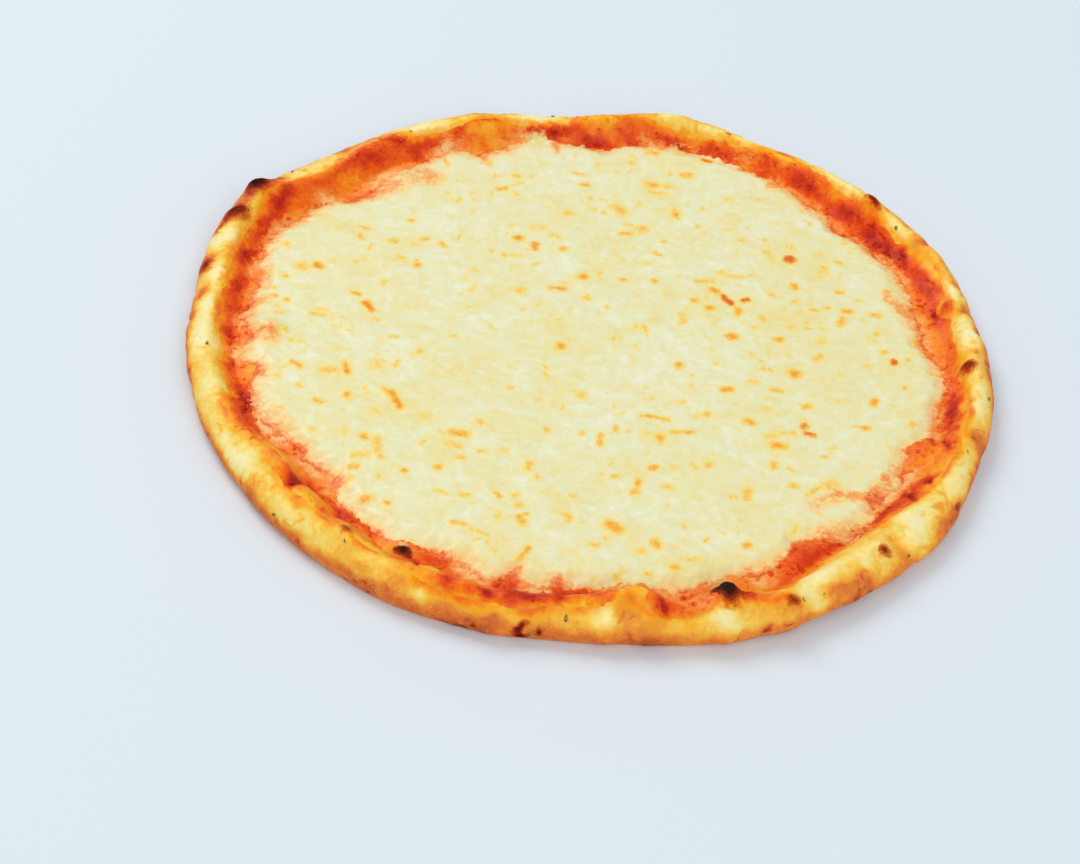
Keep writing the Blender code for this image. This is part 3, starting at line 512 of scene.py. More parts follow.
    (34, -28.5, 4, 2.6, 0, 0.5), (21, -29.5, 3, 2.2, 0, 0.45), (15, -7, 7, 1.8, -65, 0.4),
    (25, -38.5, 12, 1.8, -5, 0.8), (35, -45, 10, 1.6, 12, 0.85), (27.5, -49, 4.8, 3.6, 90, 0.8),
    (16, -47.5, 3, 2.6, 0, 0.45), (6.5, -54, 8, 2.8, 92, 0.75), (67, -41, 6, 4, 20, 0.5),
    (73, -39, 8, 3.2, 10, 0.5), (69.5, -46, 6, 3.6, 0, 0.95), (86, -49.5, 3.4, 2.6, 0, 0.6),
    (89, -44, 4, 2.2, 30, 0.5), (68, -57, 5.4, 3, 90, 0.65), (74, -58, 4, 2.2, -40, 0.55),
    (45, -60.5, 3.6, 3.2, 90, 0.75), (26, -65.5, 4.6, 2.8, 10, 0.8, 0.35), (33, -64, 4, 3, 60, 0.5),
    (11, -66, 3, 3, 0, 0.45), (31.5, -74, 6.4, 3, 0, 0.5), (21, -74, 6, 2.4, 85, 0.75, 0.5),
    (20, -78.5, 4, 3, 40, 0.75, 0.4), (13, -72, 5, 2.6, 30, 0.55, 0.4), (59, -73, 8, 4, 80, 0.6),
    (54, -76, 4.4, 2.2, 0, 0.6), (75, -66, 4.4, 4, 0, 0.55), (82, -68, 9, 2, 50, 0.65, 0.3),
    (88, -64, 8, 6, 50, 0.6, 0.5), (90, -71, 4.4, 2.6, 0, 0.75, 0.4), (97, -68, 12, 2, -5, 0.65, 0.6),
    (76, -88, 4.4, 2.2, 75, 0.6), (14, -97.5, 8, 4.2, -30, 0.9), (12, -103, 3.4, 3, 0, 0.5),
    (28.5, -103, 5.4, 3.2, -70, 0.8), (24, -107, 4.4, 3, 0, 0.6), (8, -107, 5, 4, -20, 0.5),
    (40, -108.5, 9, 1.6, 8, 0.55), (35.5, -113, 3.6, 3, 0, 0.9), (59.8, -99, 3.8, 3.4, 0, 0.95),
    (27, -117, 2.6, 2.4, 0, 0.6), (17, -120, 3.4, 3, 0, 0.65),
)


@dataclass(frozen=True)
class Grain:
    """Smooth repeatable noise in space, from a shuffled table of slopes."""

    seed: int
    slots: int = 256
    gain: float = 1.6
    layer_total: float = 1.5

    def table(self) -> tuple[Array, Array]:
        """Draws the table.

        Returns:
            The shuffled order, and the slope that belongs to each place in it.
        """
        rng = np.random.default_rng(self.seed)
        slopes = rng.normal(size=(self.slots, 3))
        slopes /= np.linalg.norm(slopes, axis=1, keepdims=True)
        return rng.permutation(self.slots), slopes

    def at(self, points: Array, size: float) -> Array:
        """One layer of noise.

        Args:
            points: places in millimetres, one a row.
            size: how far apart its swells are, in millimetres.

        Returns:
            A number from about -1 to 1 for each place.
        """
        order, slopes = self.table()
        cell = points / size
        base = np.floor(cell).astype(np.int64)
        part = cell - base
        ease = part**3 * (part * (part * 6.0 - 15.0) + 10.0)
        total = np.zeros(len(points))
        for corner in product((0, 1), repeat=3):
            spot = base + corner
            pick = spot[:, 0] & (self.slots - 1)
            for axis in (1, 2):
                pick = (order[pick] + spot[:, axis]) & (self.slots - 1)
            share = np.prod(np.where(corner, ease, 1.0 - ease), axis=1)
            total += share * np.einsum("ij,ij->i", slopes[order[pick]], part - corner)
        return self.gain * total

    def layered(self, points: Array, size: float, layers: int = 3) -> Array:
        """Several layers of noise, each half the size and half the strength of the last.

        Args:
            points: places in millimetres, one a row.
            size: the size of the largest swells, in millimetres.
            layers: how many layers are added up.

        Returns:
            A number from about -1 to 1 for each place.
        """
        total = np.zeros(len(points))
        for layer in range(layers):
            total += 0.5**layer * Grain(self.seed + layer).at(points, size * 0.5**layer)
        return total / self.layer_total


def smooth_step(value: Array) -> Array:
    """0 below 0, 1 above 1, and a smooth rise between them."""
    held = np.clip(value, 0.0, 1.0)
    return held * held * (3.0 - 2.0 * held)


def turned_from(angle: Array, start: float) -> Array:
    """The turn from start to each angle, between -180 and 180 degrees."""
    return (angle - start + 180.0) % 360.0 - 180.0


def swelling(swells: Sequence[Swell], angle: Array) -> Array:
    """Adds up swells.

    Args:
        swells: the swells.
        angle: the angles at which they are wanted.

    Returns:
        Their sum at each angle, in millimetres.
    """
    total = np.zeros(np.shape(angle))
    for swell in swells:
        total += swell.rise * np.exp(-0.5 * (turned_from(angle, swell.angle) / swell.spread) ** 2)
    return total


def along_edge(edge: Sequence[tuple[float, float]], angle: Array) -> Array:
    """The radius of an edge at each angle."""
    places, radii = np.array(edge, float).T
    return np.interp(angle % 360.0, places, radii, period=360.0)


def tipped(turn: float, first: Array, second: Array) -> tuple[Array, Array]:
    """The parts of a shift that run along and across a line turned by some degrees."""
    cos, sin = math.cos(math.radians(turn)), math.sin(math.radians(turn))
    return cos * first + sin * second, cos * second - sin * first


def patches(spots: Sequence[Patch], angle: Array, radius: Array) -> Array:
    """Adds up soft ovals.

    Args:
        spots: the ovals.
        angle: the angle of each place.
        radius: the radius of each place.

    Returns:
        Their sum at each place.
    """
    total = np.zeros(np.shape(angle))
    for spot in spots:
        round_rim = np.radians(turned_from(angle, spot.angle)) * spot.radius
        along, across = tipped(-spot.turn, round_rim, radius - spot.radius)
        far = (along / spot.along) ** 2 + (across / spot.across) ** 2
        total += spot.strength * np.exp(-0.5 * far)
    return total


def folds(creases: Sequence[Crease], angle: Array, radius: Array) -> Array:
    """Finds how deep creases cut in.

    Args:
        creases: the creases.
        angle: the angle of each place.
        radius: the radius of each place.

    Returns:
        The depth of the deepest of them at each place, in millimetres.
    """
    deepest = np.zeros(np.shape(angle))
    for crease in creases:
        mean = 0.5 * (crease.radius + crease.end_radius)
        x = np.radians(turned_from(angle, crease.angle)) * mean
        y = radius - crease.radius
        run = math.radians(crease.end_angle - crease.angle) * mean
        rise = crease.end_radius - crease.radius
        share = np.clip((x * run + y * rise) / (run * run + rise * rise), 0.0, 1.0)
        gap = np.hypot(x - share * run, y - share * rise) / crease.width
        taper = np.sin(math.pi * np.clip(share, *FOLD_ENDS))
        deepest = np.maximum(deepest, crease.depth * taper * np.exp(-gap * gap))
    return deepest


@dataclass(frozen=True)
class PizzaShape:
    """The sizes of the pizza that all its layers share."""

    pizza_radius: float = 150.5
    crest_radius: float = 142.5
    rim_height: float = 13.2
    dough_floor: float = 3.9
    slope_width: float = 10.5
    waist_height: float = 4.4
    foot_radius: float = 147.0
    flat_underside: float = 124.0
    even_radius: float = 96.0
    sauce_margin: float = 4.4
    turn_steps: int = 112

    def outline(self, angle: Array) -> Array:
        """The outer radius at each angle."""
        return self.pizza_radius + swelling(OUTLINE_SWELLS, angle)

    def crest(self, angle: Array) -> Array:
        """The radius of the highest line of the rim at each angle."""
        strip = self.pizza_radius - self.crest_radius
        return self.outline(angle) - strip + swelling(CREST_SWELLS, angle)

    def sauce_edge(self, angle: Array) -> Array:
        """Where the sauce ends, which may be a little past the crest."""
        return np.minimum(along_edge(SAUCE_EDGE, angle), self.outline(angle) - self.sauce_margin)

    def bumps(self, angle: Array, radius: Array) -> Array:
        """How far the lumps and dents raise the dough, in millimetres."""
        return patches(BUMPS, angle, radius) + patches(KNOBS, angle, radius)

    def middle(self) -> tuple[float, float]:
        """Finds the frame's origin, which is the middle of the box round the outline.

        Returns:
            Its place, from the middle of the stretched dough.
        """
        angle = np.arange(self.turn_steps) * 360.0 / self.turn_steps
        x = self.outline(angle) * np.cos(np.radians(angle))
        y = self.outline(angle) * np.sin(np.radians(angle))
        return 0.5 * float(x.min() + x.max()), 0.5 * float(y.min() + y.max())

    def top(self, angle: Array, radius: Array) -> Array:
        """Shapes the dough's upper side, over the crest and down the outer wall.

        Args:
            angle: degrees round the pizza.
            radius: millimetres from the middle of the dough.

        Returns:
            The height at each place.
        """
        crest = self.crest(angle)
        rise = swelling(RIM_HEIGHT_SWELLS, angle)
        bumps = self.bumps(angle, radius)
        along = smooth_step((radius - crest + self.slope_width) / self.slope_width)
        inside = self.dough_floor + (self.rim_height + rise - self.dough_floor) * along + bumps
        share = np.clip((radius - crest) / (self.outline(angle) - crest), 0.0, 1.0)
        drop = self.rim_height - self.waist_height
        even = self.waist_height + drop * np.sqrt(1.0 - share**2)
        outside = even + even / self.rim_height * (rise + bumps)
        return np.where(radius <= crest, inside, outside)

    def place(self, angle: Array, radius: Array, height: Array) -> Array:
        """Puts places into the frame.

        Args:
            angle: degrees round the pizza.
            radius: millimetres from the middle of the dough.
            height: millimetres above the surface that the pizza lies on.

        Returns:
            The points in millimetres, one a row.
        """
        middle = self.middle()
        x = radius * np.cos(np.radians(angle)) - middle[0]
        y = radius * np.sin(np.radians(angle)) - middle[1]
        return np.stack([x, y, height], axis=-1)


SHAPE = PizzaShape()


def add_mesh(
    name: str,
    points: Array,
    faces: Sequence[Array],
    material: bpy.types.Material,
    masks: Masks | None = None,
) -> bpy.types.Object:
    """Makes a smooth mesh object.

    Args:
        name: the piece's name.
        points: the corners in millimetres, one a row.
        faces: arrays of faces, all the faces in one array having as many corners.
        material: its finish.
        masks: a number for each corner under each name, for the finish to read.

    Returns:
        The object, linked to the scene.
    """
    mesh = bpy.data.meshes.new(name)
    loops = np.concatenate([part.ravel() for part in faces]).astype(np.int32)
    sizes = np.concatenate([np.full(len(part), part.shape[1]) for part in faces])
    starts = np.concatenate([[0], np.cumsum(sizes)[:-1]]).astype(np.int32)
    mesh.vertices.add(len(points))
    mesh.vertices.foreach_set("co", (points * MM).astype(np.float32).ravel())
    mesh.loops.add(len(loops))
    mesh.loops.foreach_set("vertex_index", loops)
    mesh.polygons.add(len(sizes))
    mesh.polygons.foreach_set("loop_start", starts)
    mesh.update(calc_edges=True)
    mesh.validate()
    mesh.shade_smooth()
    for key, values in (masks or {}).items():
        layer = mesh.attributes.new(key, "FLOAT", "POINT")
        layer.data.foreach_set("value", np.asarray(values, np.float32).ravel())
    mesh.materials.append(material)
    piece = bpy.data.objects.new(name, mesh)
    bpy.context.scene.collection.objects.link(piece)
    return piece


def closed_rings(rows: int, columns: int) -> list[Array]:
    """The faces of a shell of rings between two poles.

    Args:
        rows: how many rings there are, the first next to the upper pole.
        columns: how many points each ring has.

    Returns:
        The quads between the rings, and the triangles at the poles. The poles are the two
        points after the rings.
    """
    index = np.arange(rows * columns).reshape(rows, columns)
    beside = np.roll(index, -1, axis=1)
    quads = np.stack([index[:-1], index[1:], beside[1:], beside[:-1]], axis=-1).reshape(-1, 4)
    upper = np.full(columns, rows * columns)
    caps = [
        np.stack([upper, index[0], beside[0]], axis=-1),
        np.stack([upper + 1, beside[-1], index[-1]], axis=-1),
    ]
    return [quads, np.concatenate(caps)]


def ring_normals(points: Array) -> Array:
    """Finds the outward normals of a grid of rings.

    Args:
        points: the grid, shaped rows by columns by 3.

    Returns:
        The normal at each of its points.
    """
    down = np.gradient(points, axis=0)
    round_ring = np.roll(points, -1, axis=1) - np.roll(points, 1, axis=1)
    normal = np.cross(down, round_ring)
    return normal / np.maximum(np.linalg.norm(normal, axis=-1, keepdims=True), 1e-9)


def linear(red: int, green: int, blue: int) -> Color:
    """A colour given as it looks on a screen, from 0 to 255, as the light it throws back."""
    shares = (red / 255.0, green / 255.0, blue / 255.0)
    return tuple(v / 12.92 if v <= 0.04045 else ((v + 0.055) / 1.055) ** 2.4 for v in shares)


class Coat(NamedTuple):
    """A colour laid over those below it where a mask rises from low to high."""

    low: float
    high: float
    share: float
    tint: Tint


class Flesh(NamedTuple):
    """How food takes the light: its shine, how far light spreads in it, and its wet coat."""

    shine: float
    share: float
    spread: Color
    reach: float
    coat: float = 0.0
    coat_roughness: float = 0.03

    def sockets(self) -> dict[str, Any]:
        """The shader's inputs for it."""
        return {
            "Specular IOR Level": self.shine,
            "Subsurface Weight": self.share,
            "Subsurface Radius": self.spread,
            "Subsurface Scale": self.reach * MM,
            "Coat Weight": self.coat,
            "Coat Roughness": self.coat_roughness,
        }


class Signal:
    """A number that changes over a surface: the output of a shader node."""

    def __init__(self, nodes: "Nodes", socket: bpy.types.NodeSocket) -> None:
        """Wraps the output socket of one of the nodes."""
        self.nodes = nodes
        self.socket = socket

    def math(self, operation: str, other: Any, flip: bool = False) -> "Signal":
        """Adds a Math node on this number and another.

        Args:
            operation: the node's operation.
            other: a signal or a plain number.
            flip: whether this number comes last instead of first.

        Returns:
            The result.
        """
        sockets = {0: other, 1: self} if flip else {0: self, 1: other}
        node = self.nodes.add("ShaderNodeMath", {"operation": operation}, sockets)
        return Signal(self.nodes, node.outputs[0])

    def __add__(self, other: Any) -> "Signal":
        """This plus other."""
        return self.math("ADD", other)

    __radd__ = __add__

    def __sub__(self, other: Any) -> "Signal":
        """This minus other."""
        return self.math("SUBTRACT", other)

    def __rsub__(self, other: Any) -> "Signal":
        """Other minus this."""
        return self.math("SUBTRACT", other, flip=True)

    def __mul__(self, other: Any) -> "Signal":
        """This times other."""
        return self.math("MULTIPLY", other)

    __rmul__ = __mul__

    def rise(self, low: float, high: float) -> "Signal":
        """Eases this number.

        Args:
            low: where it is still 0.
            high: where it has come to 1.

        Returns:
            0 below low, 1 above high, and smooth between them.
        """
        settings = {"interpolation_type": "SMOOTHSTEP"}
        sockets = {"Value": self, "From Min": low, "From Max": high}
        node = self.nodes.add("ShaderNodeMapRange", settings, sockets)
        return Signal(self.nodes, node.outputs[0])


class Nodes:
    """The shader nodes of one material."""

    def __init__(self, name: str) -> None:
        """Makes a material with an empty node tree.

        Args:
            name: the material's name.
        """
        self.material = bpy.data.materials.new(name)
        self.material.use_nodes = True
        self.tree = self.material.node_tree
        self.tree.nodes.clear()
        self.place: bpy.types.NodeSocket | None = None

    def add(self, kind: str, settings: dict[str, Any], sockets: dict[Any, Any]) -> bpy.types.Node:
        """Adds a node.

        Args:
            kind: the node's type.
            settings: what is set on the node first, with a ramp's stops under "stops".
            sockets: plain values, signals or output sockets, by the input's name or number.

        Returns:
            The node.
        """
        node = self.tree.nodes.new(kind)
        for key, value in settings.items():
            if key == "stops":
                self.set_stops(node.color_ramp, value)
            else:
                setattr(node, key, value)
        for key, value in sockets.items():
            value = value.socket if isinstance(value, Signal) else value
            if isinstance(value, bpy.types.NodeSocket):
                self.tree.links.new(value, node.inputs[key])
            else:
                node.inputs[key].default_value = value
        return node

    @staticmethod
    def set_stops(ramp: bpy.types.ColorRamp, stops: Stops) -> None:
        """Gives a colour ramp its stops.

        Args:
            ramp: the ramp.
            stops: the place of each stop and its colour, as it looks on a screen.
        """
        while len(ramp.elements) < len(stops):
            ramp.elements.new(1.0)
        for element, (place, tint) in zip(ramp.elements, stops):
            element.position = place
            element.color = (*linear(*tint), 1.0)

    def mask(self, name: str) -> Signal:
        """A number that the mesh holds for each of its points."""
        node = self.add("ShaderNodeAttribute", {"attribute_name": name}, {})
        return Signal(self, node.outputs["Fac"])

    def where(self) -> bpy.types.NodeSocket:
        """The place on the object, in metres."""
        if self.place is None:
            self.place = self.add("ShaderNodeTexCoord", {}, {}).outputs["Object"]
        return self.place

    def moved(
        self, shift: Color = (0.0, 0.0, 0.0), stretch: Color = (1.0, 1.0, 1.0), turn: float = 0.0
    ) -> bpy.types.NodeSocket:
        """The place on the object, shifted, stretched and turned about the upright.

        Args:
            shift: metres along each axis.
            stretch: factors along each axis.
            turn: degrees.

        Returns:
            The moved place.
        """
        sockets = {
            "Vector": self.where(),
            "Location": shift,
            "Rotation": (0.0, 0.0, math.radians(turn)),
            "Scale": stretch,
        }
        return self.add("ShaderNodeMapping", {}, sockets).outputs[0]

    def noise(
        self, size: float, detail: float = 2.0, twist: float = 0.0, place: Any = None
    ) -> Signal:
        """Cloudy noise, about 0 to 1.

        Args:
            size: how far apart the clouds are, in millimetres.
            detail: how many finer layers there are.
            twist: how much it swirls.
            place: where it is looked up, or None for the place on the object.

        Returns:
            The noise.
        """
        sockets = {
            "Vector": place or self.where(),
            "Scale": 1.0 / (size * MM),
            "Detail": detail,
            "Roughness": 0.55,
            "Distortion": twist,
        }
        return Signal(self, self.add("ShaderNodeTexNoise", {}, sockets).outputs["Fac"])

    def pores(self, size: float) -> Signal:
        """The distance to the nearest of many scattered points, which lie size apart."""
        sockets = {"Vector": self.where(), "Scale": 1.0 / (size * MM)}
        return Signal(self, self.add("ShaderNodeTexVoronoi", {}, sockets).outputs["Distance"])

    def ramp(self, signal: Signal, stops: Stops) -> bpy.types.NodeSocket:
        """The colour that a number stands for, between the stops."""
        settings = {"stops": stops}
        return self.add("ShaderNodeValToRGB", settings, {"Fac": signal}).outputs["Color"]

    def mix(self, share: Signal, under: Any, over: Any, blend: str = "MIX") -> bpy.types.NodeSocket:
        """Lays one colour over another.

        Args:
            share: how much of the upper colour shows.
            under: a colour or a colour socket.
            over: a colour or a colour socket.
            blend: how they mix.

        Returns:
            The mixed colour.
        """
        colors = [(*value, 1.0) if isinstance(value, tuple) else value for value in (under, over)]
        settings = {"data_type": "RGBA", "blend_type": blend}
        sockets = {0: share, 6: colors[0], 7: colors[1]}
        return self.add("ShaderNodeMix", settings, sockets).outputs[2]

    def glaze(self, mask: Signal, under: Any, coats: Sequence[Coat]) -> bpy.types.NodeSocket:
        """Lays coats of colour one over the other.

        Args:
            mask: what says where they show.
            under: the colour socket below them all.
            coats: the coats, the lowest first.

        Returns:
            The colour.
        """
        for coat in coats:
            share = coat.share * mask.rise(coat.low, coat.high)
            under = self.mix(share, under, linear(*coat.tint))
        return under

    def bump(self, height: Signal, depth: float, under: Any = None) -> bpy.types.NodeSocket:
        """Fine relief.

        Args:
            height: the relief, from 0 to 1.
            depth: how high 1 stands, in millimetres.
            under: the relief that it is added to, or None.

        Returns:
            The normal.
        """
        sockets = {"Height": height, "Strength": 1.0, "Distance": depth * MM}
        if under is not None:
            sockets["Normal"] = under
        return self.add("ShaderNodeBump", {}, sockets).outputs[0]

    def finish(self, sockets: dict[str, Any]) -> bpy.types.Material:
        """Ends the material with a Principled shader, whose inputs take the given sockets."""
        shader = self.add("ShaderNodeBsdfPrincipled", {}, sockets)
        self.add("ShaderNodeOutputMaterial", {}, {"Surface": shader.outputs[0]})
        return self.material


@dataclass(frozen=True)
class DoughFinish:
    """Baked dough: cream where it stayed pale, tanned, stained with oil and scorched, with painted shade
    and painted highlight in a few patches of the rim.
    """

    roughness: float = 0.6
    oily_roughness: float = 0.42
    oil_share: float = 0.86
    pore_size: float = 1.9
    flesh: Flesh = Flesh(0.16, 0.12, (1.0, 0.5, 0.2), 1.5)
    baked: Stops = (
        (0.0, (253, 239, 184)), (0.18, (253, 228, 142)), (0.34, (253, 205, 84)),
        (0.5, (250, 172, 56)), (0.64, (240, 138, 48)), (0.78, (220, 108, 42)),
        (0.9, (182, 74, 18)), (1.0, (140, 48, 8)),
    )
    oily: Stops = (
        (0.2, (255, 212, 70)), (0.5, (255, 182, 16)), (0.8, (254, 146, 4)), (1.0, (244, 100, 4)),
    )
    browned: Color = (0.72, 0.3, 0.1)
    scorched: Color = (0.4, 0.16, 0.12)
    charred: tuple[Coat, ...] = (Coat(0.66, 1.1, 0.95, (30, 8, 3)),)

    def make(self) -> bpy.types.Material:
        """Builds the material."""
        nodes = Nodes("baked_dough")
        cloud = nodes.noise(9.0, 3.0, 0.4) - 0.5
        mottle = nodes.noise(2.4, 3.0, 0.6) - 0.5
        speck = nodes.noise(0.7, 2.0) - 0.5
        blister = nodes.noise(5.0, 2.0, 0.5, nodes.moved(shift=(0.3, 0.1, 0.2))).rise(0.56, 0.76)
        under = nodes.mask("under")
        blotch = nodes.noise(13.0, 3.0, 0.5, nodes.moved(shift=(0.1, 0.4, 0.0)))
        tan = nodes.mask("tan") + 0.4 * cloud + 0.34 * mottle + 0.16 * speck + 0.22 * blister
        tan = tan + under * (0.9 * (blotch - 0.5))
        stain = nodes.mask("stain") + 0.4 * mottle + 0.3 * cloud
        oil = nodes.ramp(stain, self.oily)
        color = nodes.mix(self.oil_share * stain.rise(0.1, 0.78), nodes.ramp(tan, self.baked), oil)
        scorch = nodes.mask("char") + 0.5 * mottle + 0.4 * speck
        scorch = scorch + 0.75 * under * blotch.rise(0.56, 0.74)
        color = nodes.mix(scorch.rise(0.1, 0.44), color, self.browned, "MULTIPLY")
        color = nodes.mix(scorch.rise(0.38, 0.72), color, self.scorched, "MULTIPLY")
        color = nodes.glaze(scorch, color, self.charred)
        relief = nodes.bump(nodes.noise(0.9, 3.0), 0.2)
        relief = nodes.bump(nodes.pores(self.pore_size).rise(0.0, 0.35), 0.05, relief)
        relief = nodes.bump(scorch.rise(0.4, 0.8) * nodes.noise(0.5, 2.0), 0.3, relief)
        gloss = self.roughness - (self.roughness - self.oily_roughness) * stain.rise(0.3, 0.7)
        rough = gloss + 0.2 * speck + 0.4 * scorch.rise(0.4, 0.9)
        sockets = {"Base Color": color, "Roughness": rough, "Normal": relief}
        return nodes.finish({**sockets, **self.flesh.sockets()})


@dataclass(frozen=True)
class SauceFinish:
    """Cooked tomato: deep red where thick, orange where oily, pink where milk ran in."""

    name: str
    roughness: float = 0.46
    flesh: Flesh = Flesh(0.16, 0.15, (1.0, 0.3, 0.1), 1.2, 0.05, 0.2)
    tomato: Stops = (
        (0.0, (166, 26, 2)), (0.2, (204, 46, 2)), (0.4, (234, 76, 4)),
        (0.6, (248, 114, 6)), (0.8, (254, 154, 14)), (1.0, (254, 190, 40)),
    )
    milky: tuple[Coat, ...] = (
        Coat(0.2, 0.6, 0.75, (252, 152, 66)),
        Coat(0.55, 1.05, 0.75, (254, 208, 136)),
    )

    def make(self) -> bpy.types.Material:
        """Builds the material."""
        nodes = Nodes(self.name)
        cloud = nodes.noise(5.0, 3.0, 0.5) - 0.5
        pulp = nodes.noise(1.6, 3.0, 0.8) - 0.5
        speck = nodes.noise(0.6, 2.0) - 0.5
        tone = nodes.mask("tone") + 0.42 * cloud + 0.4 * pulp + 0.16 * speck
        curd = nodes.noise(2.6, 2.0, 0.9, nodes.moved(shift=(0.5, 0.2, 0.0))) - 0.5
        along = nodes.moved(stretch=(0.35, 1.0, 1.0), turn=24.0)
        streak = nodes.noise(1.5, 2.0, 0.8, along) - 0.5
        milk = nodes.mask("milk") + 0.5 * pulp + 0.9 * curd + 0.6 * streak
        color = nodes.glaze(milk, nodes.ramp(tone, self.tomato), self.milky)
        relief = nodes.bump(nodes.noise(1.3, 3.0, 0.5), 0.3)
        rough = self.roughness + 0.25 * speck
        sockets = {"Base Color": color, "Roughness": rough, "Normal": relief}
        return nodes.finish({**sockets, **self.flesh.sockets()})


@dataclass(frozen=True)
class CheeseFinish:
    """Melted cheese: pale cream, with oil flecks, toasted spots and a reddened fringe."""

    name: str
    roughness: float = 0.44
    flesh: Flesh = Flesh(0.35, 0.25, (1.0, 0.8, 0.5), 1.4, 0.08, 0.25)
    creamy: Stops = (
        (0.0, (240, 217, 138)), (0.3, (238, 226, 162)), (0.55, (236, 232, 186)),
        (0.85, (241, 240, 208)),
    )
    toasted: tuple[Coat, ...] = (
        Coat(0.05, 0.46, 0.8, (252, 216, 92)),
        Coat(0.28, 0.86, 0.92, (252, 164, 8)),
        Coat(0.75, 1.25, 0.85, (228, 98, 2)),
    )
    spiced: tuple[Coat, ...] = (Coat(0.2, 0.75, 0.85, (230, 84, 8)),)
    blushing: tuple[Coat, ...] = (
        Coat(0.14, 0.46, 0.75, (252, 208, 130)),
        Coat(0.42, 0.76, 0.8, (251, 152, 62)),
        Coat(0.76, 1.06, 0.85, (236, 88, 12)),
    )

    def make(self) -> bpy.types.Material:
        """Builds the material."""
        nodes = Nodes(self.name)
        cloud = nodes.noise(16.0, 3.0, 0.4) - 0.5
        curd = nodes.noise(4.2, 3.0, 0.6) - 0.5
        along = nodes.moved(stretch=(0.45, 1.0, 1.0), turn=8.0)
        thread = nodes.noise(1.6, 2.0, 0.4, along) - 0.5
        speck = nodes.noise(0.6, 1.0) - 0.5
        grit = nodes.noise(1.5, 3.0, 0.8) - 0.5
        freckle = nodes.noise(3.4, 3.0, 0.8).rise(0.55, 0.74)
        cream = nodes.mask("cream") + 0.95 * cloud + 0.85 * curd + 0.36 * thread
        rough = 0.8 * curd + 1.1 * grit + 0.3 * thread
        toast = nodes.mask("toast")
        toast = toast + rough * (0.16 + 0.5 * toast.rise(0.0, 0.5)) + 0.16 * freckle
        spice = nodes.mask("spice") * (1.0 + rough)
        blush = nodes.mask("blush")
        blush = blush + rough * (0.1 + 0.9 * blush.rise(0.0, 0.6))
        color = nodes.glaze(toast, nodes.ramp(cream, self.creamy), self.toasted)
        color = nodes.glaze(spice, color, self.spiced)
        color = nodes.glaze(blush, color, self.blushing)
        relief = nodes.bump(nodes.noise(2.2, 3.0, 0.4), 0.2)
        relief = nodes.bump(speck + 0.5, 0.08, relief)
        gloss = self.roughness + 0.3 * speck
        sockets = {"Base Color": color, "Roughness": gloss, "Normal": relief}
        return nodes.finish({**sockets, **self.flesh.sockets()})


@dataclass(frozen=True)
class HerbFinish:
    """Dried leaf, mottled between two tints."""

    dark: Tint = (104, 84, 20)
    light: Tint = (170, 140, 60)
    grain: float = 1.1
    roughness: float = 0.9
    shine: float = 0.1

    def make(self) -> bpy.types.Material:
        """Builds the material."""
        nodes = Nodes("dried_herb")
        mottle = nodes.noise(self.grain, 2.0)
        color = nodes.mix(mottle.rise(0.35, 0.65), linear(*self.dark), linear(*self.light))
        relief = nodes.bump(mottle, 0.1)
        sockets = {"Base Color": color, "Roughness": self.roughness, "Normal": relief}
        return nodes.finish({**sockets, "Specular IOR Level": self.shine})


def dress(piece: bpy.types.Object, layer: Layer, *replaced: Layer) -> None:
    """Makes a piece ride with the pizza, and hides the plain solids that it stands for.

    Args:
        piece: the piece.
        layer: not used.
        replaced: the layers whose plain solids it stands for.
    """
    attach(piece, BODY)
    if replaced:
        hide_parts(*(each.value for each in replaced))
    LOG.info("%s: %d faces", piece.name, len(piece.data.polygons))


def inside_box(points: Array) -> Array:
    """Holds points within the box of the plain solids, with the tallest tops still round.

    Args:
        points: places in millimetres, one a row.

    Returns:
        The held points.
    """
    low, high = (np.array(corner) / MM for corner in CAD_BOX)
    held = np.clip(points, low, high)
    knee = high[2] - TOP_KNEE
    over = np.maximum(points[:, 2] - knee, 0.0)
    held[:, 2] = np.minimum(held[:, 2], knee) + TOP_KNEE * (1.0 - np.exp(-over / TOP_KNEE))
    return held


def add_shell(
    name: str,
    layer: Layer,
    grid: Array,
    pole_heights: Array,
    masks: Masks,
    material: bpy.types.Material,
) -> None:
    """Makes a closed shell of rings, in the place of a layer's plain solid.

    Args:
        name: the piece's name.
        layer: the layer.
        grid: the points in millimetres, shaped rings by points by 3.
        pole_heights: the heights of the upper and the lower pole.
        masks: what the finish reads at each point.
        material: the finish.
    """
    poles = SHAPE.place(np.zeros(2), np.zeros(2), pole_heights)
    points = inside_box(np.concatenate([grid.reshape(-1, 3), poles]))
    ends = {key: np.append(values, (values[0], values[-1])) for key, values in masks.items()}
    piece = add_mesh(name, points, closed_rings(*grid.shape[:2]), material, ends)
    dress(piece, layer, layer)


def wander(points: Array, seed: int, size: float, reach: float) -> tuple[Array, Array]:
    """Small random shifts, so that soft ovals get ragged shapes.

    Args:
        points: places in millimetres.
        seed: which shifts.
        size: how far apart they change, in millimetres.
        reach: how far they go, in millimetres.

    Returns:
        The shift round the rim and the shift across it, in millimetres.
    """
    shifts = [reach * Grain(seed + extra).layered(points, size, 3) for extra in (0, 50)]
    return shifts[0], shifts[1]


def strayed(
    points: Array, angle: Array, radius: Array, *shifts: float
) -> tuple[Array, Array]:
    """Moves places about a little before soft ovals are looked up there.

    Args:
        points: places in millimetres, one a row.
        angle: the angle of each.
        radius: the radius of each.
        shifts: the seed, the size and the reach of the shifts.

    Returns:
        The moved angles and radii.
    """
    round_rim, across = wander(points, *shifts)
    return angle + np.degrees(round_rim / np.maximum(radius, LEAST_RADIUS)), radius + across


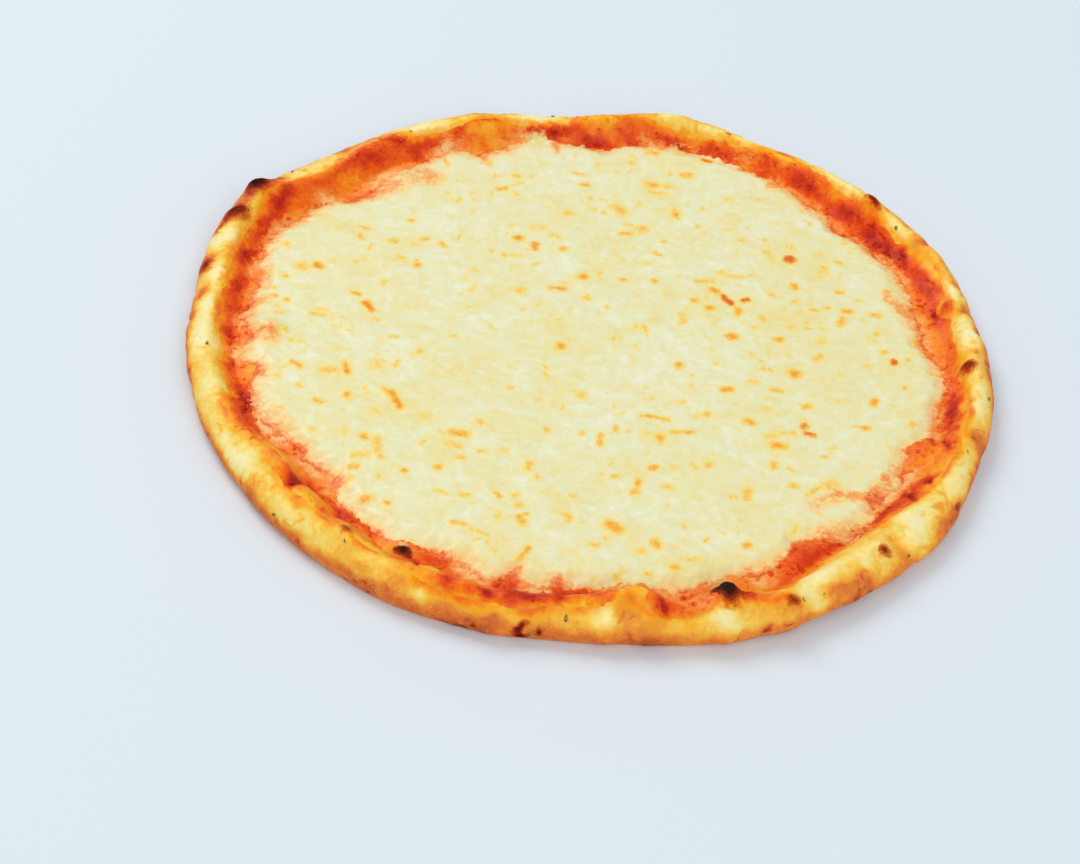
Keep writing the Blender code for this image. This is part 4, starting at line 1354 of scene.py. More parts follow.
@dataclass(frozen=True)
class DoughBase:
    """The crust: a floor, an uneven rim with blisters, and a browned underside."""

    columns: int = 1180
    hidden_radii: tuple[float, ...] = (2.0, 50.0, 90.0, 106.0)
    fine_from: float = 116.0
    slope_rows: int = 34
    wall_rows: int = 22
    foot_rows: int = 9
    under_radii: tuple[float, ...] = (144.0, 140.0, 134.0, 126.0, 112.0, 70.0, 2.0)
    # The size and the reach of each layer of the skin's unevenness, and of the scorched skin's.
    skin: tuple[tuple[float, float], ...] = ((13.0, 0.85), (5.0, 0.36), (1.7, 0.1))
    scorch_size: float = 1.5
    scorch_lift: float = 0.35
    scorch_reach: float = 0.3
    # Outside the crest the skin is set in, so that no lump passes the outline.
    inset: float = 0.75
    inset_width: float = 5.0
    smooth_foot: float = 1.6
    spots: tuple[float, float, float] = (Seed.DOUGH_SPOTS, 6.0, 1.6)
    # How far outside the crest the wall begins, and how high on it the darker foot reaches.
    wall_width: float = 4.0
    foot_top: tuple[float, float] = (10.2, 2.0)
    foot_fade: float = 5.4
    foot_size: float = 12.0
    cloud_size: float = 15.0
    under_height: float = 0.4
    # How tanned the dough is everywhere, and what each kind of place adds to it.
    tan: float = 0.36
    wall_tan: float = 0.06
    cloud_tan: float = 0.14
    foot_tan: tuple[float, float] = (0.3, 0.2)
    under_tan: float = 0.12
    pale_share: float = 0.34
    # How much of the pale patches and of the stain the foot hides.
    foot_over_pale: float = 0.8
    foot_over_stain: float = 0.55
    # Only char gets darker than this: a deeper tan is held back.
    deep_tan: float = 0.68
    past_deep: float = 0.4
    bleed: tuple[float, float] = (0.6, 0.3)
    bleed_reach: tuple[float, float] = (4.0, 2.2)
    bleed_sizes: tuple[float, float] = (6.0, 9.0)
    stain_least_height: float = 2.5
    stain_share: float = 0.6
    bare_share: float = 0.3

    def rings(self) -> tuple[Array, Array, int]:
        """Lays out the rings of an even pizza.

        Returns:
            Their radii, their heights, and how many of them are on the upper side.
        """
        slope = np.linspace(self.fine_from, SHAPE.crest_radius, self.slope_rows)
        top = np.concatenate([self.hidden_radii, slope])
        wall = np.radians(np.linspace(0.0, 90.0, self.wall_rows + 1)[1:])
        strip = SHAPE.pizza_radius - SHAPE.crest_radius
        drop = SHAPE.rim_height - SHAPE.waist_height
        foot = np.radians(np.linspace(0.0, 90.0, self.foot_rows + 1)[1:])
        tuck = SHAPE.pizza_radius - SHAPE.foot_radius
        radii = [top, SHAPE.crest_radius + strip * np.sin(wall)]
        heights = [np.zeros(len(top)), SHAPE.waist_height + drop * np.cos(wall)]
        radii += [SHAPE.foot_radius + tuck * np.cos(foot), np.array(self.under_radii)]
        heights += [SHAPE.waist_height * (1.0 - np.sin(foot)), np.zeros(len(self.under_radii))]
        return np.concatenate(radii), np.concatenate(heights), len(top)

    def shell(self) -> tuple[Array, Array, Array]:
        """Lays the rings on the uneven pizza.

        Returns:
            The angle, the radius and the height of each point.
        """
        even_radius, even_height, top_count = self.rings()
        turns = np.arange(self.columns) * 360.0 / self.columns
        angle = np.broadcast_to(turns, (len(even_radius), self.columns))
        crest = SHAPE.crest(angle)
        ring = even_radius[:, None]
        slope = SHAPE.crest_radius - SHAPE.even_radius
        inner = SHAPE.even_radius + (ring - SHAPE.even_radius) * (crest - SHAPE.even_radius) / slope
        strip = SHAPE.pizza_radius - SHAPE.crest_radius
        outer = crest + (ring - SHAPE.crest_radius) * (SHAPE.outline(angle) - crest) / strip
        radius = np.where(ring <= SHAPE.crest_radius, inner, outer)
        radius = np.where(ring <= SHAPE.even_radius, ring, radius)
        level = even_height[:, None]
        share = level / SHAPE.rim_height
        rise = swelling(RIM_HEIGHT_SWELLS, angle) + SHAPE.bumps(angle, radius)
        curl_width = SHAPE.pizza_radius - SHAPE.flat_underside
        curl = smooth_step((ring - SHAPE.flat_underside) / curl_width)
        height = level + share * rise + (1.0 - share) * curl * swelling(UNDERSIDE_LIFTS, angle)
        height[:top_count] = SHAPE.top(angle, radius)[:top_count]
        return angle, radius, height

    def relief(self, points: Array, angle: Array, radius: Array) -> Array:
        """Shapes the skin, which is never past the outline.

        Args:
            points: places in millimetres, one a row.
            angle: the angle of each.
            radius: the radius of each.

        Returns:
            How far the skin stands out at each place.
        """
        total = np.zeros(len(points))
        for layer, (size, reach) in enumerate(self.skin):
            total += reach * Grain(Seed.SKIN + 5 * layer).layered(points, size, 2)
        char = patches(CHAR, angle, radius)
        rough = Grain(Seed.SCORCH).layered(points, self.scorch_size, 2)
        total += np.clip(char, 0.0, 1.0) * (self.scorch_lift + self.scorch_reach * rough)
        total += patches(WALL_FORMS, angle, radius) - folds(CREASES, angle, radius)
        outward = smooth_step((radius - SHAPE.crest(angle)) / self.inset_width)
        return total - self.inset * outward

    def masks(self, points: Array, angle: Array, radius: Array) -> Masks:
        """Works out what the finish reads.

        Args:
            points: places in millimetres, one a row.
            angle: the angle of each.
            radius: the radius of each.

        Returns:
            How tanned, stained and charred each place is, with painted shade and painted highlight in a
            few of the tan and stain patches, and how far it is underneath.
        """
        spot = strayed(points, angle, radius, *self.spots)
        height = points[:, 2]
        outside = smooth_step((radius - SHAPE.crest(angle)) / self.wall_width)
        cloud = Grain(Seed.TAN).layered(points, self.cloud_size, 3)
        foot_top = self.foot_top[0] + self.foot_top[1] * cloud
        foot = outside * smooth_step((foot_top - height) / self.foot_fade)
        under = smooth_step((self.under_height - height) / self.under_height)
        above = 1.0 - under
        foot_grain = Grain(Seed.FOOT).layered(points, self.foot_size, 2)
        tan = self.tan + self.wall_tan * outside + self.cloud_tan * cloud * above
        tan += foot * above * (self.foot_tan[0] + self.foot_tan[1] * foot_grain)
        # The brown patches are tan, and some are painted shade beside lumps and folds of the rim.
        tan += patches(BROWN_AND_SHADE, *spot) * above
        # The pale patches take tan away where the dough stayed pale, and the one at 275.8 degrees is a
        # painted highlight.
        tan -= self.pale_share * patches(PALE_AND_HIGHLIGHT, *spot) * (1.0 - self.foot_over_pale * foot) * above
        tan += self.under_tan * under
        tan = np.minimum(tan, self.deep_tan + self.past_deep * (tan - self.deep_tan))
        beyond = spot[1] - SHAPE.sauce_edge(angle)
        grain = Grain(Seed.BLEED).layered(points, self.bleed_sizes[0], 2)
        bleed = self.bleed[0] + self.bleed[1] * grain
        far_grain = Grain(Seed.BLEED_REACH).layered(points, self.bleed_sizes[1], 2)
        reach = self.bleed_reach[0] + self.bleed_reach[1] * far_grain
        stain = bleed * smooth_step(1.0 - beyond / reach) * (height > self.stain_least_height)
        shown = 1.0 - self.foot_over_stain * foot
        # The stain patches are oil stain, and the one at 278.6 degrees is painted shade beside the lump.
        stain += self.stain_share * patches(STAIN_AND_SHADE, *spot) * shown * above
        bare = np.clip(patches(BARE_DOUGH, angle, radius), 0.0, 1.0)
        stain -= self.bare_share * bare * above
        char = patches(CHAR, *spot) * above
        return {"tan": tan, "stain": stain, "char": char, "under": under}

    def build(self) -> None:
        """Makes the crust and puts it in the place of the plain one."""
        angle, radius, height = self.shell()
        grid = SHAPE.place(angle, radius, height)
        flat = grid.reshape(-1, 3)
        angle, radius = angle.ravel(), radius.ravel()
        lifted = smooth_step(height.ravel() / self.smooth_foot)
        skin = (self.relief(flat, angle, radius) * lifted).reshape(height.shape)
        points = grid + ring_normals(grid) * skin[..., None]
        poles = np.array([float(height[0].mean()), 0.0])
        masks = self.masks(flat, angle, radius)
        add_shell("crust_surface", Layer.DOUGH, points, poles, masks, DoughFinish().make())


@dataclass(frozen=True)
class SauceLayer:
    """The tomato sauce that shows in a ring between the cheese and the rim."""

    columns: int = 1180
    hidden_radii: tuple[float, ...] = (2.0, 50.0, 90.0, 102.0)
    fine_from: float = 106.0
    rows: int = 66
    past_edge: float = 2.4
    lower_steps: tuple[float, ...] = (0.4, 2.0, 4.0, 6.0, 8.0, 10.0, 12.0, 14.0, 18.0)
    thickness: float = 1.2
    edge_width: float = 6.0
    # Where inside the edge the pulp begins, and over how far it comes to its full height.
    pulp_from: tuple[float, float] = (0.5, 4.0)
    # What bare dough is multiplied by, and what is then taken off, so that it has clear edges.
    bare_edge: tuple[float, float] = (1.3, 0.25)
    # How steeply the sauce dips into the dough past its edge, and how far at most.
    dip: float = 0.9
    sunk: float = 1.4
    under: float = 2.2
    # The reach and the size of the ragged edge, of the pulp and of the fine pulp.
    ragged: tuple[float, float] = (1.3, 6.0)
    pulp: tuple[float, float] = (0.4, 4.0)
    fine_pulp: tuple[float, float] = (0.2, 1.7)
    spots: tuple[float, float, float] = (Seed.SAUCE_SPOTS, 5.0, 2.0)
    # The tone runs from 0, deep red, to 1, orange.
    tone: float = 0.6
    deep_share: float = 0.38
    most_deep: float = 1.2
    oily_share: float = 0.36
    milky_share: float = 0.62
    most_soft: float = 1.1
    # The orange edge: its share and its width. The darker line: its share, place and width.
    orange_edge: tuple[float, float] = (0.2, 3.0)
    dark_line: tuple[float, float, float] = (0.12, 4.0, 1.6)
    fold_share: float = 0.4
    # The milkiness beside the cheese and how far it reaches, and what thins it.
    cheese_milk: tuple[float, float] = (0.5, 8.0)
    least_milk: float = 0.1
    deep_clears: float = 0.6

    def cover(self, points: Array, angle: Array, radius: Array) -> Array:
        """Shapes the sauce, which dips into the dough where it ends.

        Args:
            points: places in millimetres, one a row.
            angle: the angle of each.
            radius: the radius of each.

        Returns:
            How far it stands over the even dough at each place.
        """
        ragged = self.ragged[0] * Grain(Seed.SAUCE_EDGE).layered(points, self.ragged[1], 3)
        inward = SHAPE.sauce_edge(angle) - radius + ragged
        full = self.thickness * smooth_step(inward / self.edge_width)
        thick = np.where(inward > 0.0, full, self.dip * inward)
        pulp = self.pulp[0] * Grain(Seed.PULP).layered(points, self.pulp[1], 3)
        pulp = pulp + self.fine_pulp[0] * np.abs(Grain(Seed.FINE_PULP).at(points, self.fine_pulp[1]))
        thick += pulp * smooth_step((inward - self.pulp_from[0]) / self.pulp_from[1])
        bare = patches(BARE_DOUGH, angle, radius) * self.bare_edge[0] - self.bare_edge[1]
        bare = smooth_step(bare)
        thick = np.maximum(thick * (1.0 - bare) - self.dip * bare, -self.sunk)
        return thick + DoughBase().relief(points, angle, radius)

    def masks(self, points: Array, angle: Array, radius: Array) -> Masks:
        """Works out what the finish reads.

        Args:
            points: places in millimetres, one a row.
            angle: the angle of each.
            radius: the radius of each.

        Returns:
            The tone and the milkiness of each place.
        """
        spot = strayed(points, angle, radius, *self.spots)
        inward = SHAPE.sauce_edge(angle) - spot[1]
        past_cheese = spot[1] - along_edge(CHEESE_EDGE, angle)
        deep = np.minimum(patches(DEEP_SAUCE, *spot), self.most_deep)
        tone = self.tone - self.deep_share * deep
        tone += self.oily_share * np.minimum(patches(OILY_SAUCE, *spot), self.most_soft)
        tone += self.orange_edge[0] * smooth_step(1.0 - inward / self.orange_edge[1])
        share, place, width = self.dark_line
        tone -= share * np.exp(-(((inward - place) / width) ** 2))
        tone -= self.fold_share * folds(CREASES, angle, radius)
        milk = self.milky_share * np.minimum(patches(MILKY_SAUCE, *spot), self.most_soft)
        beside = self.cheese_milk[0] * smooth_step(1.0 - past_cheese / self.cheese_milk[1])
        milk += beside - self.least_milk - self.deep_clears * deep
        return {"tone": tone, "milk": milk}

    def build(self) -> None:
        """Makes the sauce and puts it in the place of the plain one."""
        turns = np.arange(self.columns) * 360.0 / self.columns
        edge = SHAPE.sauce_edge(turns) + self.past_edge
        share = np.linspace(0.0, 1.0, self.rows)[:, None]
        shown = self.fine_from + (edge - self.fine_from) * share
        hidden = np.tile(np.array(self.hidden_radii)[:, None], (1, self.columns))
        upper = np.concatenate([hidden, shown])
        lower = np.concatenate([edge - np.array(self.lower_steps)[:, None], hidden[::-1]])
        radius = np.concatenate([upper, lower])
        angle = np.broadcast_to(turns, radius.shape)
        grid = SHAPE.place(angle, radius, SHAPE.top(angle, radius))
        sheets = (grid[: len(upper)], grid[len(upper) :])
        normal = np.concatenate([ring_normals(sheet) for sheet in sheets])
        flat = grid.reshape(-1, 3)
        cover = self.cover(flat, angle.ravel(), radius.ravel()).reshape(radius.shape)
        cover[len(upper) :] = self.under
        points = grid + normal * cover[..., None]
        masks = self.masks(flat, angle.ravel(), radius.ravel())
        finish = SauceFinish("cooked_tomato").make()
        add_shell("sauce_surface", Layer.SAUCE, points, points[[0, -1], 0, 2], masks, finish)


@dataclass
class Canvas:
    """A square picture of one number over the pizza, on which marks are laid."""

    half_width: float = 145.0
    step: float = 0.45

    def __post_init__(self) -> None:
        """Starts with nothing on it."""
        self.count = int(2.0 * self.half_width / self.step) + 1
        self.values = np.zeros((self.count, self.count))

    def stroke(self, mark: Mark, soft: float) -> None:
        """Lays a mark with round ends, keeping the larger number where marks cross.

        Args:
            mark: its place in the frame, its sizes and the number along its middle line.
            soft: how far past its width it fades out, as a share of half its width.
        """
        reach = 0.5 * mark.length + mark.width * (1.0 + soft)
        spots = [(value + self.half_width) / self.step for value in (mark.x, mark.y)]
        span = int(reach / self.step) + 1
        first = [max(0, int(spot) - span) for spot in spots]
        last = [min(self.count, int(spot) + span + 1) for spot in spots]
        grid_x, grid_y = np.meshgrid(np.arange(first[0], last[0]), np.arange(first[1], last[1]))
        shift_x = (grid_x - spots[0]) * self.step
        shift_y = (grid_y - spots[1]) * self.step
        along, across = tipped(mark.turn, shift_x, shift_y)
        half = max(0.0, 0.5 * (mark.length - mark.width))
        gap = np.hypot(along - np.clip(along, -half, half), across) / (0.5 * mark.width)
        cone = mark.strength * np.clip(1.0 - gap / (1.0 + soft), 0.0, 1.0)
        window = self.values[first[1] : last[1], first[0] : last[0]]
        np.maximum(window, cone, out=window)

    def at(self, points: Array) -> Array:
        """Reads the picture.

        Args:
            points: places in millimetres, one a row.

        Returns:
            The number at each, blended between the places of the picture.
        """
        spot = (points[:, :2] + self.half_width) / self.step
        spot = np.clip(spot, 0.0, self.count - 1.001)
        column, row = spot.astype(int).T
        part_x, part_y = (spot - spot.astype(int)).T
        sides = [
            self.values[row, across] * (1 - part_y) + self.values[row + 1, across] * part_y
            for across in (column, column + 1)
        ]
        return sides[0] * (1 - part_x) + sides[1] * part_x


@dataclass(frozen=True)
class Shreds:
    """The shreds of cheese that are still to be seen in the melt."""

    count: int = 1500
    reach: float = 134.0
    lengths: tuple[float, float] = (6.0, 17.0)
    widths: tuple[float, float] = (1.3, 2.4)
    turn_spread: float = 42.0
    strengths: tuple[float, float] = (0.4, 1.0)
    softness: float = 0.5

    @cache
    def relief(self) -> Canvas:
        """Strews the shreds.

        Returns:
            Their relief, from 0 to 1.
        """
        canvas = Canvas()
        rng = np.random.default_rng(Seed.SHREDS)
        for _ in range(self.count):
            angle = rng.uniform(0.0, 360.0)
            radius = self.reach * math.sqrt(rng.uniform())
            x, y = SHAPE.place(np.array(angle), np.array(radius), np.array(0.0))[:2]
            sizes = (rng.uniform(*self.lengths), rng.uniform(*self.widths))
            turn = rng.normal(0.0, self.turn_spread)
            canvas.stroke(Mark(x, y, *sizes, turn, rng.uniform(*self.strengths)), self.softness)
        return canvas


@dataclass(frozen=True)
class FleckPattern:
    """The flecks of oil: those that stand out, and many small ones strewn between them."""

    count: int = 430
    half_width: float = 130.0
    reach: float = 127.0
    crowd_size: float = 30.0
    crowd_range: tuple[float, float] = (-0.7, 0.5)
    width: tuple[float, float] = (0.9, 1.6)
    slimness: tuple[float, float] = (1.0, 2.6)
    strengths: tuple[float, float] = (0.25, 0.62)
    shrink: float = 0.95
    softness: float = 1.1
    # The yellow halo: what it adds to the length and the width, its share and its softness.
    halo: tuple[float, float] = (4.6, 4.0)
    halo_share: float = 0.34
    halo_softness: float = 0.5

    def marks(self) -> list[Mark]:
        """Strews the small flecks.

        Returns:
            All the flecks, those that stand out first.
        """
        rng = np.random.default_rng(Seed.FLECKS)
        crowd = Grain(Seed.CROWD)
        marks = list(FLECKS)
        while len(marks) < len(FLECKS) + self.count:
            x, y = rng.uniform(-self.half_width, self.half_width, 2)
            if math.hypot(x, y) > self.reach:
                continue
            crowded = crowd.at(np.array([[x, y, 0.0]]), self.crowd_size)[0]
            if crowded < rng.uniform(*self.crowd_range):
                continue
            width = self.width[0] + self.width[1] * rng.uniform() ** 2
            length = width * rng.uniform(*self.slimness)
            strength = rng.uniform(*self.strengths)
            marks.append(Mark(x, y, length, width, rng.uniform(-90.0, 90.0), strength))
        return marks

    def canvases(self) -> tuple[Canvas, Canvas]:
        """Lays the flecks.

        Returns:
            The yellow to orange flecks with their halos, and the red ones.
        """
        yellow, red = Canvas(), Canvas()
        middle = SHAPE.middle()
        for mark in self.marks():
            wide = mark._replace(x=mark.x - middle[0], y=mark.y - middle[1])
            spot = wide._replace(length=self.shrink * mark.length, width=self.shrink * mark.width)
            yellow.stroke(spot, self.softness)
            halo = wide._replace(length=mark.length + self.halo[0], width=mark.width + self.halo[1])
            halo = halo._replace(strength=self.halo_share * mark.strength)
            yellow.stroke(halo, self.halo_softness)
            if mark.redness > 0.0:
                red.stroke(spot._replace(strength=mark.strength * mark.redness), self.softness)
        return yellow, red


@dataclass(frozen=True)
class CheeseLayer:
    """The melted cheese, with half-melted shreds, flecks of oil and a ragged edge."""

    side: int = 300
    past_edge: float = 4.0
    edge_depth: float = 0.8
    lower_steps: tuple[float, ...] = (3.0, 6.0, 10.0, 15.0)
    lower_gap: float = 0.2
    thickness: float = 3.9
    sauce: float = 1.2
    edge_width: float = 9.0
    # The fringe, in which the shreds stand out more and the sauce shows through.
    fringe_width: float = 16.0
    cream_width: float = 12.0
    # The reach and the size of the ragged edge, of its fine ragged edge and of the melt.
    ragged: tuple[float, float] = (2.2, 5.0)
    fine_ragged: tuple[float, float] = (0.9, 1.9)
    melt: tuple[float, float] = (0.42, 11.0)
    shred_depths: tuple[float, float] = (0.2, 0.16)
    shred_level: float = 0.4
    bare_dip: float = 1.3
    # How steeply the cheese dips past its edge.
    edge_dip: float = 0.7
    # The drop before the edge of the sauce: how deep it is, how far inside, and how wide.
    sauce_drop: tuple[float, float, float] = (2.4, 3.4, 3.0)
    # How far past the edge the shreds begin, and over how far they come to their full relief.
    shreds_from: tuple[float, float] = (2.0, 3.0)
    dough_width: float = 10.0
    toast_lift: float = 0.14
    fleck_shifts: tuple[float, float, float] = (Seed.FLECK_SHAPES, 2.4, 0.7)
    spots: tuple[float, float, float] = (Seed.CHEESE_SPOTS, 5.0, 2.6)
    blush_share: float = 0.78
    # The blush of the edge, its width, and the share of it that runs on over the wider edge.
    edge_blush: tuple[float, float, float] = (0.6, 4.0, 0.22)
    shred_blush: float = 0.12
    # How creamy the cheese is, what the shreds add, and what the edge takes away.
    cream: tuple[float, float, float] = (0.5, 0.2, 0.2)

    def disc(self) -> tuple[Array, Array]:
        """Draws a square grid out to a disc.

        Returns:
            The angle of each point, and its share of the radius.
        """
        line = np.linspace(-1.0, 1.0, self.side)
        x, y = np.meshgrid(line, line)
        share = np.maximum(np.abs(x), np.abs(y))
        safe = np.maximum(share, 1e-9)
        wide = np.abs(x) >= np.abs(y)
        turn = np.where(wide, y / safe, 2.0 - x / safe) * 45.0
        turn = np.where(wide & (x < 0), 180.0 - y / safe * 45.0, turn)
        turn = np.where(~wide & (y < 0), 270.0 + x / safe * 45.0, turn)
        return turn % 360.0, share

    def cover(self, points: Array, angle: Array, radius: Array) -> tuple[Array, Array, Array]:
        """Shapes the cheese over the dough.

        Args:
            points: places in millimetres, one a row.
            angle: the angle of each.
            radius: the radius of each.

        Returns:
            How far the cheese stands over the dough, how far inside its edge each place is, and
            the relief of the shreds there.
        """
        ragged = self.ragged[0] * Grain(Seed.CHEESE_EDGE).layered(points, self.ragged[1], 3)
        ragged = ragged + self.fine_ragged[0] * Grain(Seed.FINE_EDGE).at(points, self.fine_ragged[1])
        inward = along_edge(CHEESE_EDGE, angle) - radius + ragged
        rise = smooth_step(inward / self.edge_width)
        over_sauce = self.sauce + (self.thickness - self.sauce) * rise
        cover = np.where(inward > 0.0, over_sauce, self.sauce + self.edge_dip * inward)
        drop, inside, width = self.sauce_drop
        cover -= drop * smooth_step((radius - SHAPE.sauce_edge(angle) + inside) / width)
        shred = Shreds().relief().at(points)
        depth = self.shred_depths[0] + self.shred_depths[1] * self.fringe(inward)
        shown = smooth_step((inward + self.shreds_from[0]) / self.shreds_from[1])
        cover += depth * (shred - self.shred_level) * shown
        cover += self.melt[0] * Grain(Seed.MELT).layered(points, self.melt[1], 3) * rise
        dough_share = smooth_step(1.0 - inward / self.dough_width)
        cover += DoughBase().relief(points, angle, radius) * dough_share
        return cover - self.bare_dip * patches(BARE_DOUGH, angle, radius), inward, shred

    def fringe(self, inward: Array) -> Array:
        """1 at the edge of the cheese, and 0 where the fringe has ended inside it."""
        return smooth_step(1.0 - inward / self.fringe_width)

    def build(self) -> None:
        """Makes the cheese and puts it in the place of the plain one."""
        angle, share = self.disc()
        radius = share * (along_edge(CHEESE_EDGE, angle) + self.past_edge)
        height = SHAPE.top(angle, radius)
        flat = SHAPE.place(angle, radius, height).reshape(-1, 3)
        angle, radius = angle.ravel(), radius.ravel()
        cover, inward, shred = self.cover(flat, angle, radius)
        shifts = wander(flat, *self.fleck_shifts)
        moved = flat + np.stack([*shifts, np.zeros(len(flat))], axis=-1)
        toast, red = (canvas.at(moved) for canvas in FleckPattern().canvases())
        points = flat.copy()
        points[:, 2] += cover + self.toast_lift * smooth_step(toast)
        near_edge = smooth_step(1.0 - inward / self.cream_width)
        spot = strayed(flat, angle, radius, *self.spots)
        blush = self.blush_share * patches(BLUSH, *spot)
        narrow_share, width, wide_share = self.edge_blush
        blush += narrow_share * smooth_step(1.0 - inward / width) + wide_share * near_edge
        blush -= self.shred_blush * (shred - self.shred_level) * self.fringe(inward)
        level, shred_share, edge_share = self.cream
        cream = level + shred_share * (shred - 0.5) - edge_share * near_edge
        self.join(points, {"toast": toast, "spice": red, "blush": blush, "cream": cream})

    def join(self, points: Array, masks: Masks) -> None:
        """Closes the sheet from below and makes the piece.

        Args:
            points: the upper side, in rows of the square grid.
            masks: what the finish reads at each of them.
        """
        index = np.arange(self.side**2).reshape(self.side, self.side)
        quads = np.stack([index[:-1, :-1], index[:-1, 1:], index[1:, 1:], index[1:, :-1]], axis=-1)
        border = np.concatenate([index[0, :-1], index[:-1, -1], index[-1, :0:-1], index[:0:-1, 0]])
        angle = self.disc()[0].ravel()[border]
        edge = along_edge(CHEESE_EDGE, angle) + self.past_edge
        lower = [points[border] - (0.0, 0.0, self.edge_depth)]
        for step in self.lower_steps:
            height = SHAPE.top(angle, edge - step) + self.lower_gap
            lower.append(SHAPE.place(angle, edge - step, height))
        ring = len(points) + np.arange(len(border) * len(lower)).reshape(len(lower), -1)
        ring = np.concatenate([border[None], ring])
        after = np.roll(ring, -1, axis=1)
        sides = np.stack([ring[:-1], ring[1:], after[1:], after[:-1]], axis=-1).reshape(-1, 4)
        pole = np.full(len(border), len(points) + len(border) * len(lower))
        fan = np.stack([ring[-1], pole, after[-1]], axis=-1)
        pole_height = np.array([SHAPE.dough_floor + self.lower_gap])
        middle = SHAPE.place(np.zeros(1), np.zeros(1), pole_height)
        corners = inside_box(np.concatenate([points, *lower, middle]))
        masks = {
            key: np.concatenate([values, np.tile(values[border], len(lower)), values[:1]])
            for key, values in masks.items()
        }
        faces = [quads.reshape(-1, 4), sides, fan]
        finish = CheeseFinish("melted_curd").make()
        piece = add_mesh("cheese_surface", corners, faces, finish, masks)
        dress(piece, Layer.CHEESE, Layer.CHEESE)


def topping_height(angle: Array, radius: Array) -> Array:
    """Finds the top of the sauce or the cheese, whichever is higher.

    Args:
        angle: the angle of each place.
        radius: the radius of each place.

    Returns:
        The height there, in millimetres.
    """
    height = SHAPE.top(angle, radius)
    points = SHAPE.place(angle, radius, height)
    sauce = SauceLayer().cover(points, angle, radius)
    cheese = CheeseLayer().cover(points, angle, radius)[0]
    return height + np.maximum(sauce, cheese)


@dataclass(frozen=True)
class Lumps:
    """Soft flat lumps of tomato in the sauce."""

    count: int = 560
    tries: int = 6
    rings: int = 6
    sides: int = 12
    size: tuple[float, float] = (0.5, 1.5)
    slimness: tuple[float, float] = (0.45, 0.9)
    flatness: float = 0.32
    # How deep the lumps are dented, the size of the dents, and how far apart lumps look them up.
    dents: tuple[float, float, float] = (0.5, 1.1, 40.0)
    inside_edges: tuple[float, float] = (1.0, 1.2)
    most_bare: float = 0.3
    thin_share: float = 0.2
    tone_shift: float = 0.08
    tone_spread: float = 0.1
    milk_share: float = 0.6

    def places(self, rng: np.random.Generator) -> tuple[Array, Array]:
        """Strews the lumps, more of them where the sauce is thick.

        Args:
            rng: where the random numbers come from.

        Returns:
            The angle and the radius of each.
        """
        angle = rng.uniform(0.0, 360.0, self.tries * self.count)
        inner = along_edge(CHEESE_EDGE, angle) - self.inside_edges[0]
        radius = rng.uniform(inner, SHAPE.sauce_edge(angle) - self.inside_edges[1])
        deep = patches(DEEP_SAUCE, angle, radius)
        kept = patches(BARE_DOUGH, angle, radius) < self.most_bare
        chance = self.thin_share + (1.0 - self.thin_share) * deep
        kept &= rng.uniform(size=len(angle)) < chance
        return angle[kept][: self.count], radius[kept][: self.count]

    def build(self) -> None:
        """Makes all the lumps as one piece."""
        rng = np.random.default_rng(Seed.LUMP_PLACES)
        angle, radius = self.places(rng)
        count = len(angle)
        rows = math.pi * (np.arange(self.rings) + 1.0) / (self.rings + 1.0)
        row, spoke = np.meshgrid(rows, math.tau * np.arange(self.sides) / self.sides, indexing="ij")
        ball = [np.sin(row) * np.cos(spoke), np.sin(row) * np.sin(spoke), np.cos(row)]
        ball = np.concatenate([np.stack(ball, axis=-1).reshape(-1, 3), [[0, 0, 1], [0, 0, -1]]])
        depth, dent_size, apart = self.dents
        shift = apart * np.arange(count)[:, None, None] * np.array([1.0, 0.0, 0.0])
        dents = Grain(Seed.LUMP_SHAPES).at((ball + shift).reshape(-1, 3), dent_size)
        local = ball * (1.0 + depth * dents).reshape(count, len(ball), 1)
        size = rng.uniform(*self.size, (count, 1))
        width = size * rng.uniform(*self.slimness, (count, 1))
        local = local * np.stack([size, width, self.flatness * size], axis=-1)
        spin = rng.uniform(0.0, math.tau, (count, 1))
        x = np.cos(spin) * local[..., 0] - np.sin(spin) * local[..., 1]
        y = np.sin(spin) * local[..., 0] + np.cos(spin) * local[..., 1]
        middle = SHAPE.place(angle, radius, topping_height(angle, radius))
        masks = SauceLayer().masks(middle, angle, radius)
        points = (middle[:, None] + np.stack([x, y, local[..., 2]], axis=-1)).reshape(-1, 3)
        starts = (np.arange(count) * len(ball))[:, None, None]
        shell = closed_rings(self.rings, self.sides)
        faces = [(part[None] + starts).reshape(-1, part.shape[1]) for part in shell]
        tone = masks["tone"] - self.tone_shift
        tone = tone + rng.uniform(-self.tone_spread, self.tone_spread, count)
        shades = {"tone": tone, "milk": self.milk_share * masks["milk"]}
        shades = {key: np.repeat(values, len(ball)) for key, values in shades.items()}
        finish = SauceFinish("tomato_pulp").make()
        piece = add_mesh("tomato_lumps", inside_box(points), faces, finish, shades)
        dress(piece, Layer.SAUCE)


